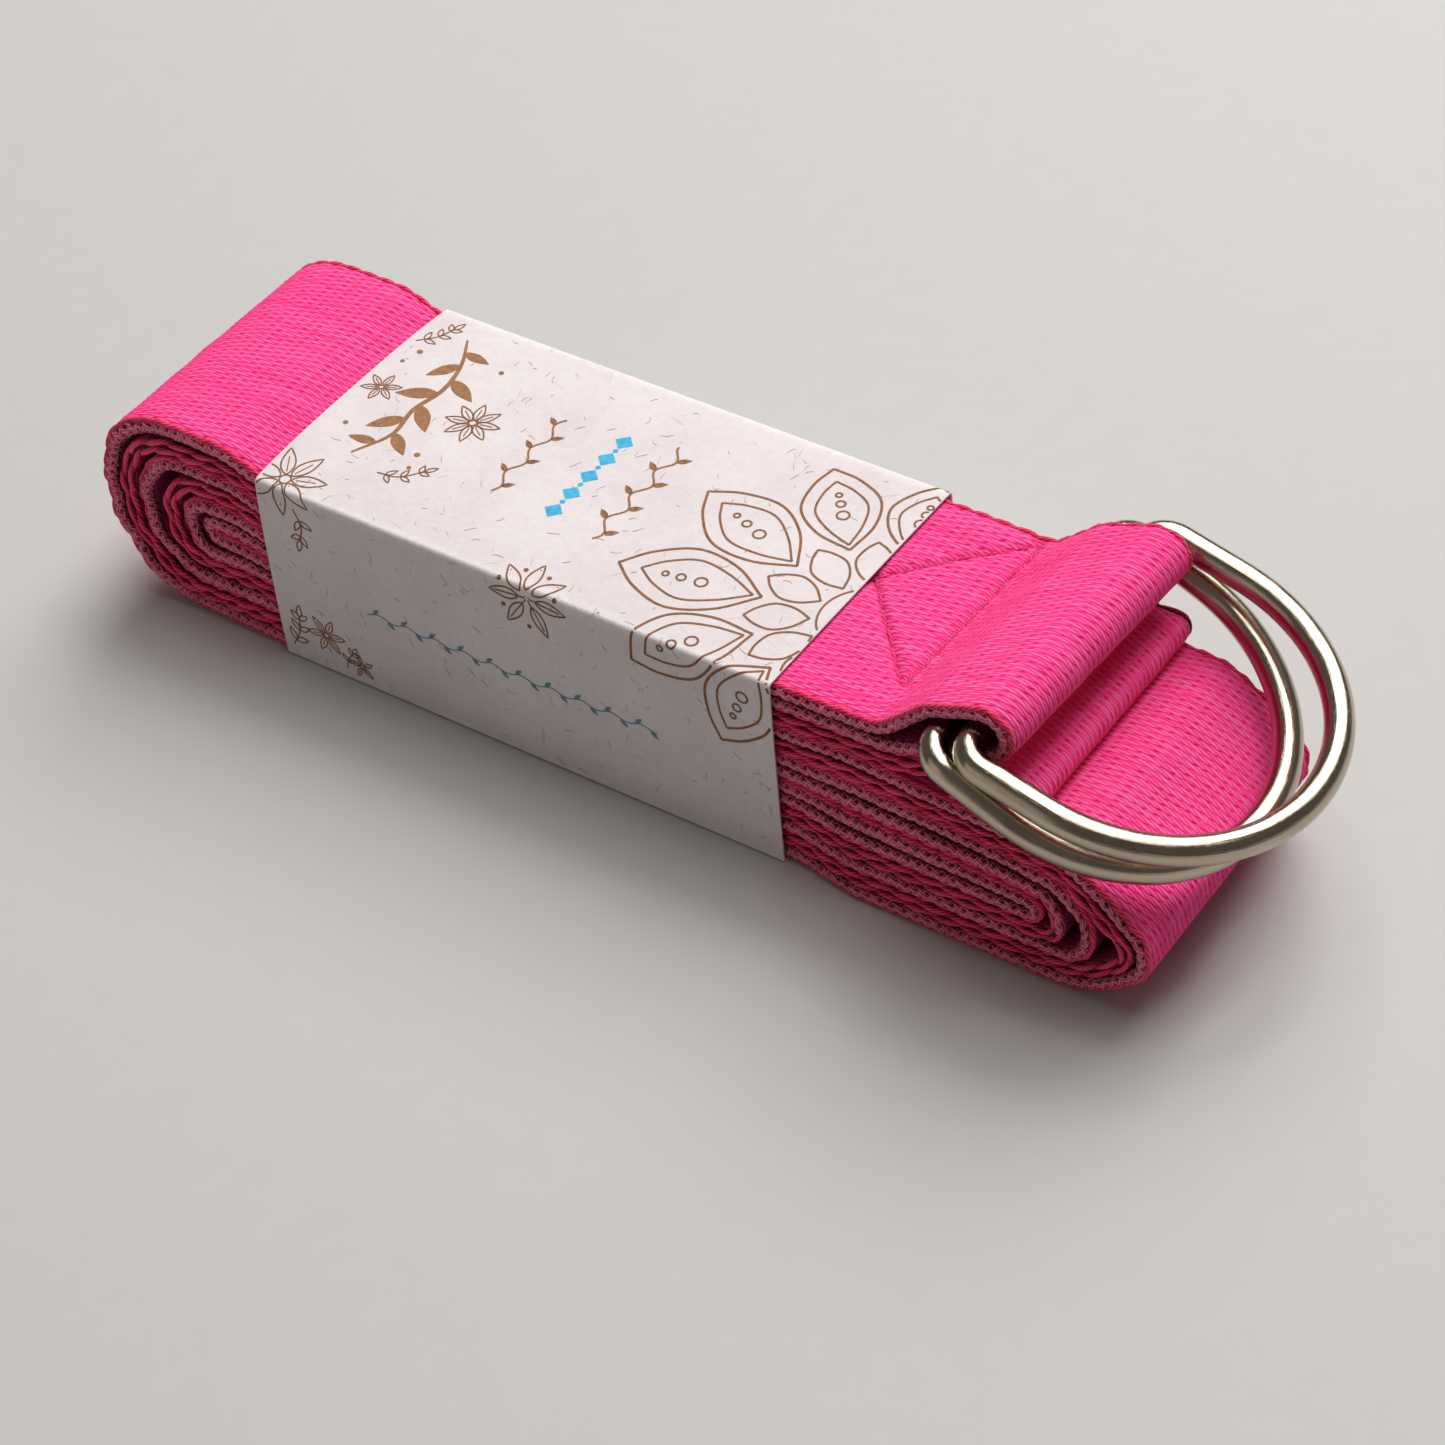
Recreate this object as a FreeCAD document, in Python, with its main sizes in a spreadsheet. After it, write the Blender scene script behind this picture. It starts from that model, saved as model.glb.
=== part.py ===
"""Stretching strap, stored for sale: a cotton webbing strap folded in half end
to end, wound into a flat roll and held by a glued paper sleeve, with two
D-rings in a sewn loop at its outer end.

Frame: +Z up, Z = 0 is the surface the roll lies on, +X runs along the roll
towards the D-rings, Y is the width of the webbing.  The origin is under the
middle of the whole object.  All sizes in millimetres.
"""
import FreeCAD, Part
import math
import os

V = FreeCAD.Vector
doc = FreeCAD.newDocument("stretching_strap")

# --------------------------------------------------------------------------
# Driving dimensions
# --------------------------------------------------------------------------
sheet = doc.addObject("Spreadsheet::Sheet", "Dimensions")
CELLS = [
    ("frame_shift", 16.149, "sleeve middle to the middle of the whole object, along X"),
    # webbing
    ("strap_width", 37.5, "webbing width"),
    ("strap_thick", 1.8, "webbing thickness, slightly pressed"),
    ("sleeve_zone_base", 0.3, "underside of the lowest layer inside the sleeve"),
    ("sleeve_zone_top", 27.35, "upper side of the top layer"),
    ("left_turn_outer", -63.2, "X of the outermost left turn, strand A"),
    ("left_turn_second", -60.5, "X of the outermost left turn, strand B"),
    ("left_turn_third", -57.5, "X of the middle left turn, strand A"),
    ("left_turn_fourth", -53.6, "X of the middle left turn, strand B"),
    ("left_turn_fifth", -50.6, "X of the inner left turn, strand A"),
    ("left_turn_sixth", -47.5, "X of the inner left turn, strand B"),
    ("step_start", 9.0, "where the layers start to close up under the turned-back end"),
    ("step_end", 21.0, "where they have closed up"),
    ("spread_start", 38.0, "just outside the sleeve, where the layers spread"),
    ("spread_end", 47.0, "where they have spread"),
    ("taper_end", 71.0, "where the right turns begin"),
    ("spread_level", 20.4, "centre of layer ten at spread_end"),
    ("taper_level", 18.35, "centre of layer ten at taper_end"),
    ("tip_reach", 84.6, "X of the outer right turn, strand A"),
    ("tip_low", 7.0, "height where the outer right turn becomes upright"),
    ("tip_high", 10.9, "height where it leans back"),
    ("inner_tip", 77.7, "X of the inner right turn, strand A"),
    ("inner_tip_second", 74.0, "X of the inner right turn, strand B"),
    ("centre_fold", 71.2, "X of the fold at the middle of the strap's length"),
    ("turned_back_end", 22.0, "X of the raw end sewn under the top layer"),
    ("turned_back_level", 24.45, "centre of the turned-back layer"),
    ("valley_x", 51.0, "X where the top layer rises over the rings"),
    ("tail_level", 22.35, "centre of the tail layer outside the sleeve"),
    ("tail_tip", 66.9, "X of the hem fold at the tail"),
    ("hem_end", 58.6, "X of the raw edge inside the hem"),
    ("hem_gap", 2.15, "hem layer above layer ten, centre to centre"),
    ("hem_pitch", 1.95, "tail layer above its hem, centre to centre"),
    # D-rings
    ("wire_dia", 3.5, "D-ring wire"),
    ("ring_inner_width", 40.0, "inside length of the straight bar"),
    ("ring_leg", 10.9, "bar centre to the start of the bow"),
    ("ring_corner", 3.0, "bend at each end of the bar, to the wire centre"),
    ("loop_clearance", 0.08, "webbing loop to wire"),
    ("upper_bar_x", 63.2, "bar of the upper ring"),
    ("upper_bar_z", 31.4, "bar of the upper ring"),
    ("lower_bar_x", 58.8, "bar of the lower ring"),
    ("lower_bar_z", 29.75, "bar of the lower ring"),
    ("upper_droop", 15.6, "upper ring below the horizontal, degrees"),
    ("lower_droop", 25.1, "lower ring below the horizontal, degrees"),
    # sewing
    ("thread_width", 0.6, "sewing thread on the surface"),
    ("thread_proud", 0.2, "thread height above the webbing"),
    ("thread_leg", 0.4, "thread through the webbing"),
    ("seam_pitch", 3.2, "one seam step"),
    ("seam_gap", 0.6, "gap between two steps"),
    ("box_left", 24.4, "box seam, end under the sleeve"),
    ("box_right", 49.1, "box seam, end at the ring loop"),
    ("box_near", -11.0, "box seam, near side"),
    ("box_far", 16.6, "box seam, far side"),
    ("hem_seam", 61.0, "X of the hem seam"),
    ("hem_seam_half", 16.4, "half length of the hem seam"),
    # paper sleeve
    ("sleeve_length", 74.0, "sleeve along the roll"),
    ("sleeve_width", 38.6, "sleeve across the roll"),
    ("sleeve_height", 27.9, "sleeve height"),
    ("paper_thick", 0.2, "paper"),
    ("sleeve_corner", 0.4, "outside corner radius"),
    ("glue_thick", 0.1, "glue film"),
    ("lap_low", 8.0, "lower edge of the outer lap"),
    ("lap_high", 20.0, "upper edge of the inner lap"),
    ("glue_margin", 1.5, "glue kept back from the lap edges"),
]
for row, (alias, value, note) in enumerate(CELLS, start=1):
    sheet.set("A%d" % row, alias)
    sheet.set("B%d" % row, str(value))
    sheet.set("C%d" % row, note)
    sheet.setAlias("B%d" % row, alias)
doc.recompute()
D = {alias: float(sheet.get(alias)) for alias, _, _ in CELLS}


def cell(alias):
    return "Dimensions." + alias


# --------------------------------------------------------------------------
# Helpers
# --------------------------------------------------------------------------
def new_body(label):
    body = doc.addObject("PartDesign::Body", label)
    body.Label = label
    return body


def origin_plane(body, role):
    for feature in body.Origin.OriginFeatures:
        if feature.Role == role:
            return feature
    raise RuntimeError("no plane " + role)


def new_sketch(body, name, role):
    sketch = body.newObject("Sketcher::SketchObject", name)
    sketch.AttachmentSupport = [(origin_plane(body, role), "")]
    sketch.MapMode = "FlatFace"
    return sketch


def place(body, x="0", y="0", z="0", about_y=None):
    """Bind a body's place to the sheet; about_y is a turn about +Y."""
    if about_y is not None:
        angle = D[about_y]
        body.Placement = FreeCAD.Placement(V(0, 0, 0), FreeCAD.Rotation(V(0, 1, 0), angle))
    body.setExpression("Placement.Base.x", x)
    body.setExpression("Placement.Base.y", y)
    body.setExpression("Placement.Base.z", z)


class Run(object):
    """A line of webbing seen from the side: straight runs joined by arcs.

    Points are (x, z, r); the two ends have r = 0.
    """

    def __init__(self, points):
        self.parts = []
        prev = (points[0][0], points[0][1])
        for i in range(1, len(points) - 1):
            ax, az = points[i - 1][:2]
            bx, bz, r = points[i]
            cx, cz = points[i + 1][:2]
            d1 = (bx - ax, bz - az)
            d2 = (cx - bx, cz - bz)
            l1, l2 = math.hypot(*d1), math.hypot(*d2)
            u1 = (d1[0] / l1, d1[1] / l1)
            u2 = (d2[0] / l2, d2[1] / l2)
            cross = u1[0] * u2[1] - u1[1] * u2[0]
            dot = u1[0] * u2[0] + u1[1] * u2[1]
            turn = math.atan2(cross, dot)
            if abs(turn) < 1e-4:
                continue
            reach = r * math.tan(abs(turn) / 2)
            p = (bx - u1[0] * reach, bz - u1[1] * reach)
            q = (bx + u2[0] * reach, bz + u2[1] * reach)
            ahead = (p[0] - prev[0]) * u1[0] + (p[1] - prev[1]) * u1[1]
            if ahead < -1e-6 or reach > l2 + 1e-6:
                raise RuntimeError("the bend at %.2f, %.2f has no room" % (bx, bz))
            if ahead > 1e-6:
                self.parts.append(("line", prev, p))
            side = 1.0 if turn > 0 else -1.0
            centre = (p[0] - u1[1] * r * side, p[1] + u1[0] * r * side)
            self.parts.append(("arc", p, q, centre, r, side))
            prev = q
        self.parts.append(("line", prev, (points[-1][0], points[-1][1])))

    def length(self):
        total = 0.0
        for part in self.parts:
            if part[0] == "line":
                total += math.hypot(part[2][0] - part[1][0], part[2][1] - part[1][1])
            else:
                a0 = math.atan2(part[1][1] - part[3][1], part[1][0] - part[3][0])
                a1 = math.atan2(part[2][1] - part[3][1], part[2][0] - part[3][0])
                total += part[4] * (((a1 - a0) * part[5]) % (2 * math.pi))
        return total

    def offset(self, d):
        """The same line moved d to its left."""
        out = []
        for part in self.parts:
            if part[0] == "line":
                (x0, z0), (x1, z1) = part[1], part[2]
                length = math.hypot(x1 - x0, z1 - z0)
                nx, nz = -(z1 - z0) / length * d, (x1 - x0) / length * d
                out.append(("line", (x0 + nx, z0 + nz), (x1 + nx, z1 + nz)))
            else:
                _, p, q, c, r, side = part
                r2 = r - d * side
                if r2 < 0.02:
                    raise RuntimeError("a bend is tighter than the webbing allows")
                k = r2 / r
                out.append(("arc",
                            (c[0] + (p[0] - c[0]) * k, c[1] + (p[1] - c[1]) * k),
                            (c[0] + (q[0] - c[0]) * k, c[1] + (q[1] - c[1]) * k),
                            c, r2, side))
        return out


def draw(sketch, parts, backwards=False):
    items = []
    for part in parts:
        if part[0] == "line":
            items.append(Part.LineSegment(V(part[1][0], part[1][1], 0), V(part[2][0], part[2][1], 0)))
        else:
            _, p, q, c, r, side = part
            a0 = math.atan2(p[1] - c[1], p[0] - c[0])
            a1 = math.atan2(q[1] - c[1], q[0] - c[0])
            if side < 0:
                a0, a1 = a1, a0
            if a1 < a0:
                a1 += 2 * math.pi
            items.append(Part.ArcOfCircle(Part.Circle(V(c[0], c[1], 0), V(0, 0, 1), r), a0, a1))
    sketch.addGeometry(items, False)


def outline(sketch, run, half):
    left, right = run.offset(half), run.offset(-half)
    draw(sketch, left)
    draw(sketch, right)
    for a, b in ((left[0][1], right[0][1]), (left[-1][2], right[-1][2])):
        sketch.addGeometry(Part.LineSegment(V(a[0], a[1], 0), V(b[0], b[1], 0)), False)


# --------------------------------------------------------------------------
# Webbing: one strap, folded in half end to end and wound as a double strand.
# Strand A carries the D-rings and runs outside; strand B carries the tail.
# Layers count from the bottom: A, B, A, B, A, B | B, A, B, A, B, A.
# --------------------------------------------------------------------------
half = D["strap_thick"] / 2
low = D["sleeve_zone_base"] + half
top = D["sleeve_zone_top"] - half
loose = (top - low) / 11.0        # twelve layers
closed = (top - low) / 12.0       # thirteen, with the turned-back end
wide = (D["spread_level"] - half) / 9.0
tight = (D["taper_level"] - half) / 9.0
X1, X2 = D["step_start"], D["step_end"]
X3, X4, X5 = D["spread_start"], D["spread_end"], D["taper_end"]


def layer_out(j):
    """Layer j from the left turns towards the right turns."""
    pts = []
    for x, z, r in ((X1, low + loose * j, 40.0), (X2, low + closed * j, 40.0),
                    (X3, low + closed * j, 18.0), (X4, half + wide * j, 18.0)):
        pts.append((x, z, r))
    return pts


def layer_back(j):
    return list(reversed(layer_out(j)))


def left_turn(x, j_from, j_to):
    za, zb = low + loose * j_from, low + loose * j_to
    r = abs(za - zb) / 2 - 0.002
    return [(x, za, r), (x, zb, r)]


def level(j, x):
    """Height of layer j on its run from X4 to the right turns."""
    z4, z5 = half + wide * j, half + tight * j
    return z4 + (z5 - z4) * (x - X4) / (X5 - X4)


def meet(p, d, q, e):
    """Crossing of the lines p + t d and q + s e."""
    det = d[0] * (-e[1]) + e[0] * d[1]
    t = ((q[0] - p[0]) * (-e[1]) + e[0] * (q[1] - p[1])) / det
    return (p[0] + d[0] * t, p[1] + d[1] * t)


# outer right turn, strand A
rise = math.radians(40.0)
foot = (77.5, half)
up = (math.cos(rise), math.sin(rise))
knee = (D["tip_reach"], D["tip_low"])
brow = (D["tip_reach"], D["tip_high"])
crown = (74.5, level(9, 74.5))
back = (crown[0] - brow[0], crown[1] - brow[1])
n = math.hypot(*back)
back = (back[0] / n, back[1] / n)
outer_right = [(foot[0], foot[1], 13.0), (knee[0], knee[1], 3.2), (brow[0], brow[1], 2.6), (crown[0], crown[1], 7.0)]

# outer right turn, strand B, one layer inside
gap = tight
foot_line = (foot[0] - up[1] * gap, foot[1] + up[0] * gap)
brow_line = (brow[0] + back[1] * -gap, brow[1] + back[0] * gap)
x_b = D["tip_reach"] - gap - 0.15
foot_b = meet(foot_line, up, (0.0, level(1, X5)), (1.0, 0.0))
knee_b = meet(foot_line, up, (x_b, 0.0), (0.0, 1.0))
brow_b = meet(brow_line, back, (x_b, 0.0), (0.0, 1.0))
run_b = (X5 - X4, level(8, X5) - level(8, X4))
crown_b = meet(brow_line, back, (X4, level(8, X4)), run_b)
outer_right_b = [(foot_b[0], foot_b[1], 11.0), (knee_b[0], knee_b[1], 1.6), (brow_b[0], brow_b[1], 1.5),
                 (crown_b[0], crown_b[1], 7.0)]

# inner right turns
line_2 = (brow[0] - back[1] * 2 * gap, brow[1] + back[0] * 2 * gap)
run_2 = (X5 - X4, level(7, X5) - level(7, X4))
brow_2 = meet(line_2, back, (D["inner_tip"], 0.0), (0.0, 1.0))
crown_2 = meet(line_2, back, (X4, level(7, X4)), run_2)
inner_right = [(D["inner_tip"], level(2, X5), 4.0), (brow_2[0], brow_2[1], 3.6), (crown_2[0], crown_2[1], 6.0)]
x_3 = D["inner_tip_second"]
inner_right_b = [(x_3, level(3, X5), 2.2), (x_3, level(6, x_3), 3.2)]
x_4 = D["centre_fold"]
fold_r = (level(5, x_4) - level(4, x_4)) / 2 - 0.0005

# ring loop, webbing centre line round the two bars
ring_r = D["wire_dia"] / 2 + D["loop_clearance"] + half
lo = (D["lower_bar_x"], D["lower_bar_z"])
hi = (D["upper_bar_x"], D["upper_bar_z"])
slope = math.atan2(hi[1] - lo[1], hi[0] - lo[0])
s_dir = (math.cos(slope), math.sin(slope))
s_nrm = (-s_dir[1], s_dir[0])
valley = (D["valley_x"], top)
reach = math.hypot(lo[0] - valley[0], lo[1] - valley[1])
climb = math.atan2(lo[1] - valley[1], lo[0] - valley[0]) + math.asin(ring_r / reach)
c_dir = (math.cos(climb), math.sin(climb))
lower_line = (lo[0] - s_nrm[0] * ring_r, lo[1] - s_nrm[1] * ring_r)
upper_line = (lo[0] + s_nrm[0] * ring_r, lo[1] + s_nrm[1] * ring_r)
end_x = (hi[0] + s_dir[0] * ring_r, hi[1] + s_dir[1] * ring_r)
corner_low = (end_x[0] - s_nrm[0] * ring_r, end_x[1] - s_nrm[1] * ring_r)
corner_high = (end_x[0] + s_nrm[0] * ring_r, end_x[1] + s_nrm[1] * ring_r)
shoulder = meet(valley, c_dir, upper_line, s_dir)
heel = meet((0.0, D["turned_back_level"]), (1.0, 0.0), lower_line, s_dir)

# tail end with its hem
tail_line = (X4, level(9, X4) + D["hem_gap"] + D["hem_pitch"])
hem_line = (X4, level(9, X4) + D["hem_gap"])
tail_dir = (X5 - X4, level(9, X5) - level(9, X4))
n = math.hypot(*tail_dir)
tail_dir = (tail_dir[0] / n, tail_dir[1] / n)
tip_x = D["tail_tip"]
tail_high = meet(tail_line, tail_dir, (tip_x, 0.0), (tail_dir[1], -tail_dir[0]))
tail_low = meet(hem_line, tail_dir, (tip_x, 0.0), (tail_dir[1], -tail_dir[0]))
hem_stop = meet(hem_line, tail_dir, (D["hem_end"], 0.0), (0.0, 1.0))
hem_r = abs((tail_high[0] - tail_low[0]) * tail_dir[1] - (tail_high[1] - tail_low[1]) * tail_dir[0]) / 2 - 0.0005
bend_up = meet(tail_line, tail_dir, (57.8, 0.0), (0.0, 1.0))

path = [(D["turned_back_end"], D["turned_back_level"], 0.0)]
path += [(heel[0], heel[1], 8.0)]
path += [(corner_low[0], corner_low[1], ring_r - 0.0005), (corner_high[0], corner_high[1], ring_r - 0.0005)]
path += [(shoulder[0], shoulder[1], ring_r), (valley[0], valley[1], 4.5)]
# strand A
path += left_turn(D["left_turn_outer"], 11, 0)
path += layer_out(0) + outer_right + layer_back(9)
path += left_turn(D["left_turn_third"], 9, 2)
path += layer_out(2) + inner_right + layer_back(7)
path += left_turn(D["left_turn_fifth"], 7, 4)
path += layer_out(4)
# the strap's middle
path += [(x_4, level(4, x_4), fold_r), (x_4, level(5, x_4), fold_r)]
# strand B
path += layer_back(5)
path += left_turn(D["left_turn_sixth"], 5, 6)
path += layer_out(6) + list(reversed(inner_right_b)) + layer_back(3)
path += left_turn(D["left_turn_fourth"], 3, 8)
path += layer_out(8) + list(reversed(outer_right_b)) + layer_back(1)
path += left_turn(D["left_turn_second"], 1, 10)
path += [(X1, low + loose * 10, 40.0), (X2, low + closed * 10, 40.0), (X3, low + closed * 10, 30.0),
         (X4, D["tail_level"], 30.0), (54.2, D["tail_level"], 7.0), (bend_up[0], bend_up[1], 6.0)]
path += [(tail_high[0], tail_high[1], hem_r), (tail_low[0], tail_low[1], hem_r)]
path += [(hem_stop[0], hem_stop[1], 0.0)]
webbing_run = Run(path)
print("webbing length in the roll: %.0f mm" % webbing_run.length())

strap = new_body("strap_webbing")
sk = new_sketch(strap, "strap_edge_outline", "XZ_Plane")
outline(sk, webbing_run, half)
pad = strap.newObject("PartDesign::Pad", "strap_width_pad")
pad.Profile = sk
pad.setExpression("Length", cell("strap_width"))
if "SideType" in pad.PropertiesList:
    pad.SideType = "Symmetric"
else:
    pad.Midplane = True
place(strap, x="-" + cell("frame_shift"))


# --------------------------------------------------------------------------
# D-rings: one bent wire each, straight bar, two legs and a round bow.
# Each is drawn flat with its bar on the Y axis and its bow towards +X.
# --------------------------------------------------------------------------
HALF_WIDTH = "(" + cell("ring_inner_width") + " + " + cell("wire_dia") + ") / 2"


def straight(name, length, x, y, turn):
    rod = doc.addObject("Part::Cylinder", name)
    rod.Placement = FreeCAD.Placement(V(0, 0, 0), turn)
    rod.setExpression("Radius", cell("wire_dia") + " / 2")
    rod.setExpression("Height", length)
    rod.setExpression("Placement.Base.x", x)
    rod.setExpression("Placement.Base.y", y)
    return rod


def bent(name, radius, sweep, x, y, start):
    arc = doc.addObject("Part::Torus", name)
    arc.Placement = FreeCAD.Placement(V(0, 0, 0), FreeCAD.Rotation(V(0, 0, 1), start))
    arc.Angle3 = sweep
    arc.setExpression("Radius1", radius)
    arc.setExpression("Radius2", cell("wire_dia") + " / 2")
    arc.setExpression("Placement.Base.x", x)
    arc.setExpression("Placement.Base.y", y)
    return arc


def d_ring(label, bar_x, bar_z, droop):
    along_y = FreeCAD.Rotation(V(1, 0, 0), -90)
    along_x = FreeCAD.Rotation(V(0, 1, 0), 90)
    corner, leg = cell("ring_corner"), cell("ring_leg")
    pieces = [
        straight(label + "_bar", "2 * (" + HALF_WIDTH + " - " + corner + ")", "0", "-(" + HALF_WIDTH + " - " + corner + ")", along_y),
        straight(label + "_leg_far", leg + " - " + corner, corner, HALF_WIDTH, along_x),
        straight(label + "_leg_near", leg + " - " + corner, corner, "-" + HALF_WIDTH, along_x),
        bent(label + "_corner_far", corner, 90, corner, HALF_WIDTH + " - " + corner, 90),
        bent(label + "_corner_near", corner, 90, corner, "-(" + HALF_WIDTH + " - " + corner + ")", 180),
        bent(label + "_bow", HALF_WIDTH, 180, leg, "0", -90),
    ]
    ring = doc.addObject("Part::MultiFuse", label)
    ring.Shapes = pieces
    ring.Label = label
    ring.Refine = True
    place(ring, x=cell(bar_x) + " - " + cell("frame_shift"), z=cell(bar_z), about_y=droop)
    return ring


d_ring("upper_d_ring", "upper_bar_x", "upper_bar_z", "upper_droop")
d_ring("lower_d_ring", "lower_bar_x", "lower_bar_z", "lower_droop")


# --------------------------------------------------------------------------
# Sewing thread.  Each seam is a row of steps: a short run on the upper side,
# one on the under side and a leg through the webbing at each step's start.
# --------------------------------------------------------------------------
def seam_points(lines):
    """Centre, direction and length of every step of a seam."""
    out = []
    for (x0, y0), (x1, y1) in lines:
        length = math.hypot(x1 - x0, y1 - y0)
        count = max(1, int(round(length / D["seam_pitch"])))
        step = length / count
        ux, uy = (x1 - x0) / length, (y1 - y0) / length
        run = step - D["seam_gap"]
        for i in range(count):
            t = (i + 0.5) * step
            out.append((x0 + ux * t, y0 + uy * t, ux, uy, run))
    return out


def seam(label, lines, upper_z, under_z, at, tilt=0.0):
    w, p = D["thread_width"] / 2, D["thread_proud"]
    steps = seam_points(lines)
    flat = doc.addObject("Sketcher::SketchObject", label + "_steps")
    geo = []
    for x, y, ux, uy, run in steps:
        h = run / 2
        c = [(x + ux * a * h - uy * b * w, y + uy * a * h + ux * b * w) for a, b in ((-1, -1), (1, -1), (1, 1), (-1, 1))]
        for i in range(4):
            q = c[(i + 1) % 4]
            geo.append(Part.LineSegment(V(c[i][0], c[i][1], 0), V(q[0], q[1], 0)))
    flat.addGeometry(geo, False)
    holes = doc.addObject("Sketcher::SketchObject", label + "_legs")
    holes.addGeometry([Part.Circle(V(x - ux * (run / 2 - 0.32), y - uy * (run / 2 - 0.32), 0), V(0, 0, 1), D["thread_leg"] / 2)
                       for x, y, ux, uy, run in steps], False)
    pieces = []
    for name, base, length, sketch in (("upper", upper_z, p, flat), ("under", under_z - p, p, flat),
                                       ("through", under_z - p / 2, upper_z - under_z + p, holes)):
        ex = doc.addObject("Part::Extrusion", label + "_" + name)
        ex.Base = sketch
        ex.DirMode = "Custom"
        ex.Dir = V(0, 0, 1)
        ex.LengthFwd = length
        if name != "through":
            ex.setExpression("LengthFwd", cell("thread_proud"))
        ex.Solid = True
        ex.Placement = FreeCAD.Placement(V(0, 0, base), FreeCAD.Rotation())
        pieces.append(ex)
    fuse = doc.addObject("Part::MultiFuse", label)
    fuse.Shapes = pieces
    fuse.Label = label
    fuse.Placement = FreeCAD.Placement(V(*at), FreeCAD.Rotation(V(0, 1, 0), tilt))
    return fuse


bl, br, bn, bf = D["box_left"], D["box_right"], D["box_near"], D["box_far"]
# the two ends of the seam and its two diagonals, sewn in one go
box_lines = [((br, bn), (br, bf)), ((bl, bf), (bl, bn)),
             ((bl + 1.2, bn + 1.3), (br - 1.2, bf - 1.3)), ((bl + 1.2, bf - 1.3), (br - 1.2, bn + 1.3))]
seam("box_x_stitching", box_lines, top + half, D["turned_back_level"] - half, (-D["frame_shift"], 0, 0))

# the hem seam lies square to the tail, which slopes down towards its end
tilt = -math.degrees(math.atan2(tail_dir[1], tail_dir[0]))
seat = meet(tail_line, tail_dir, (D["hem_seam"], 0.0), (0.0, 1.0))
hs = D["hem_seam_half"]
pitch = D["hem_pitch"] * tail_dir[0]
seam("tail_hem_stitching", [((0.0, -hs), (0.0, hs))], half, -pitch - half,
     (seat[0] - D["frame_shift"], 0, seat[1]), tilt)

# --------------------------------------------------------------------------
# Paper sleeve: one strip of paper wrapped round the roll.  Its ends lap on the
# far side, the outer end over the inner one, with a film of glue between.
# --------------------------------------------------------------------------
t = D["paper_thick"]
w = D["sleeve_width"] / 2
h = D["sleeve_height"]
rc = D["sleeve_corner"]
inner_face = w - t - D["glue_thick"]          # outside of the inner lap
mid = t / 2
wrap = Run([
    (inner_face - mid, D["lap_high"], 0.0),
    (inner_face - mid, mid, rc - mid),
    (-w + mid, mid, rc - mid),
    (-w + mid, h - mid, rc - mid),
    (w - mid, h - mid, rc - mid),
    (w - mid, D["lap_low"], 0.0),
])
sleeve = new_body("paper_sleeve")
sk = new_sketch(sleeve, "sleeve_section", "YZ_Plane")
outline(sk, wrap, mid)
pad = sleeve.newObject("PartDesign::Pad", "sleeve_length_pad")
pad.Profile = sk
pad.setExpression("Length", cell("sleeve_length"))
if "SideType" in pad.PropertiesList:
    pad.SideType = "Symmetric"
else:
    pad.Midplane = True
place(sleeve, x="-" + cell("frame_shift"))

glue = doc.addObject("Part::Box", "sleeve_glue_line")
glue.Label = "sleeve_glue_line"
glue.setExpression("Length", cell("sleeve_length") + " - 4 * " + cell("glue_margin"))
glue.setExpression("Width", cell("glue_thick"))
glue.setExpression("Height", cell("lap_high") + " - " + cell("lap_low") + " - 2 * " + cell("glue_margin"))
glue.setExpression("Placement.Base.x", "-" + cell("frame_shift") + " - " + cell("sleeve_length") + " / 2 + 2 * " + cell("glue_margin"))
glue.setExpression("Placement.Base.y", cell("sleeve_width") + " / 2 - " + cell("paper_thick") + " - " + cell("glue_thick"))
glue.setExpression("Placement.Base.z", cell("lap_low") + " + " + cell("glue_margin"))

# --------------------------------------------------------------------------
# Check and write
# --------------------------------------------------------------------------
doc.recompute()
for obj in doc.Objects:
    if any(flag in ("Invalid", "Error") for flag in obj.State):
        raise RuntimeError("%s failed: %s" % (obj.Label, obj.State))

NODES = ["strap_webbing", "upper_d_ring", "lower_d_ring", "box_x_stitching", "tail_hem_stitching",
         "paper_sleeve", "sleeve_glue_line"]
os.makedirs("parts", exist_ok=True)
shapes = {}
for label in NODES:
    obj = doc.getObjectsByLabel(label)[0]
    shape = obj.Shape
    if shape.isNull() or not shape.isValid() or not shape.Solids:
        raise RuntimeError(label + " has no valid solid")
    shapes[label] = shape
for label, shape in shapes.items():
    shape.exportStep("parts/%s.step" % label)
    b = shape.BoundBox
    print("%-20s %3d solid(s) %9.1f mm3  x %.2f..%.2f  y %.2f..%.2f  z %.2f..%.2f"
          % (label, len(shape.Solids), shape.Volume, b.XMin, b.XMax, b.YMin, b.YMax, b.ZMin, b.ZMax))
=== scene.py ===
"""Stretching strap: the looks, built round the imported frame.

Lengths are worked out in millimetres in the roll's own axes (X from the middle
of the paper sleeve, Y across the webbing, Z up from the floor) and turned into
metres of the row frame when a mesh is made.
"""
import math

import bpy
import numpy as np
from mathutils import Matrix, Vector


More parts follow.
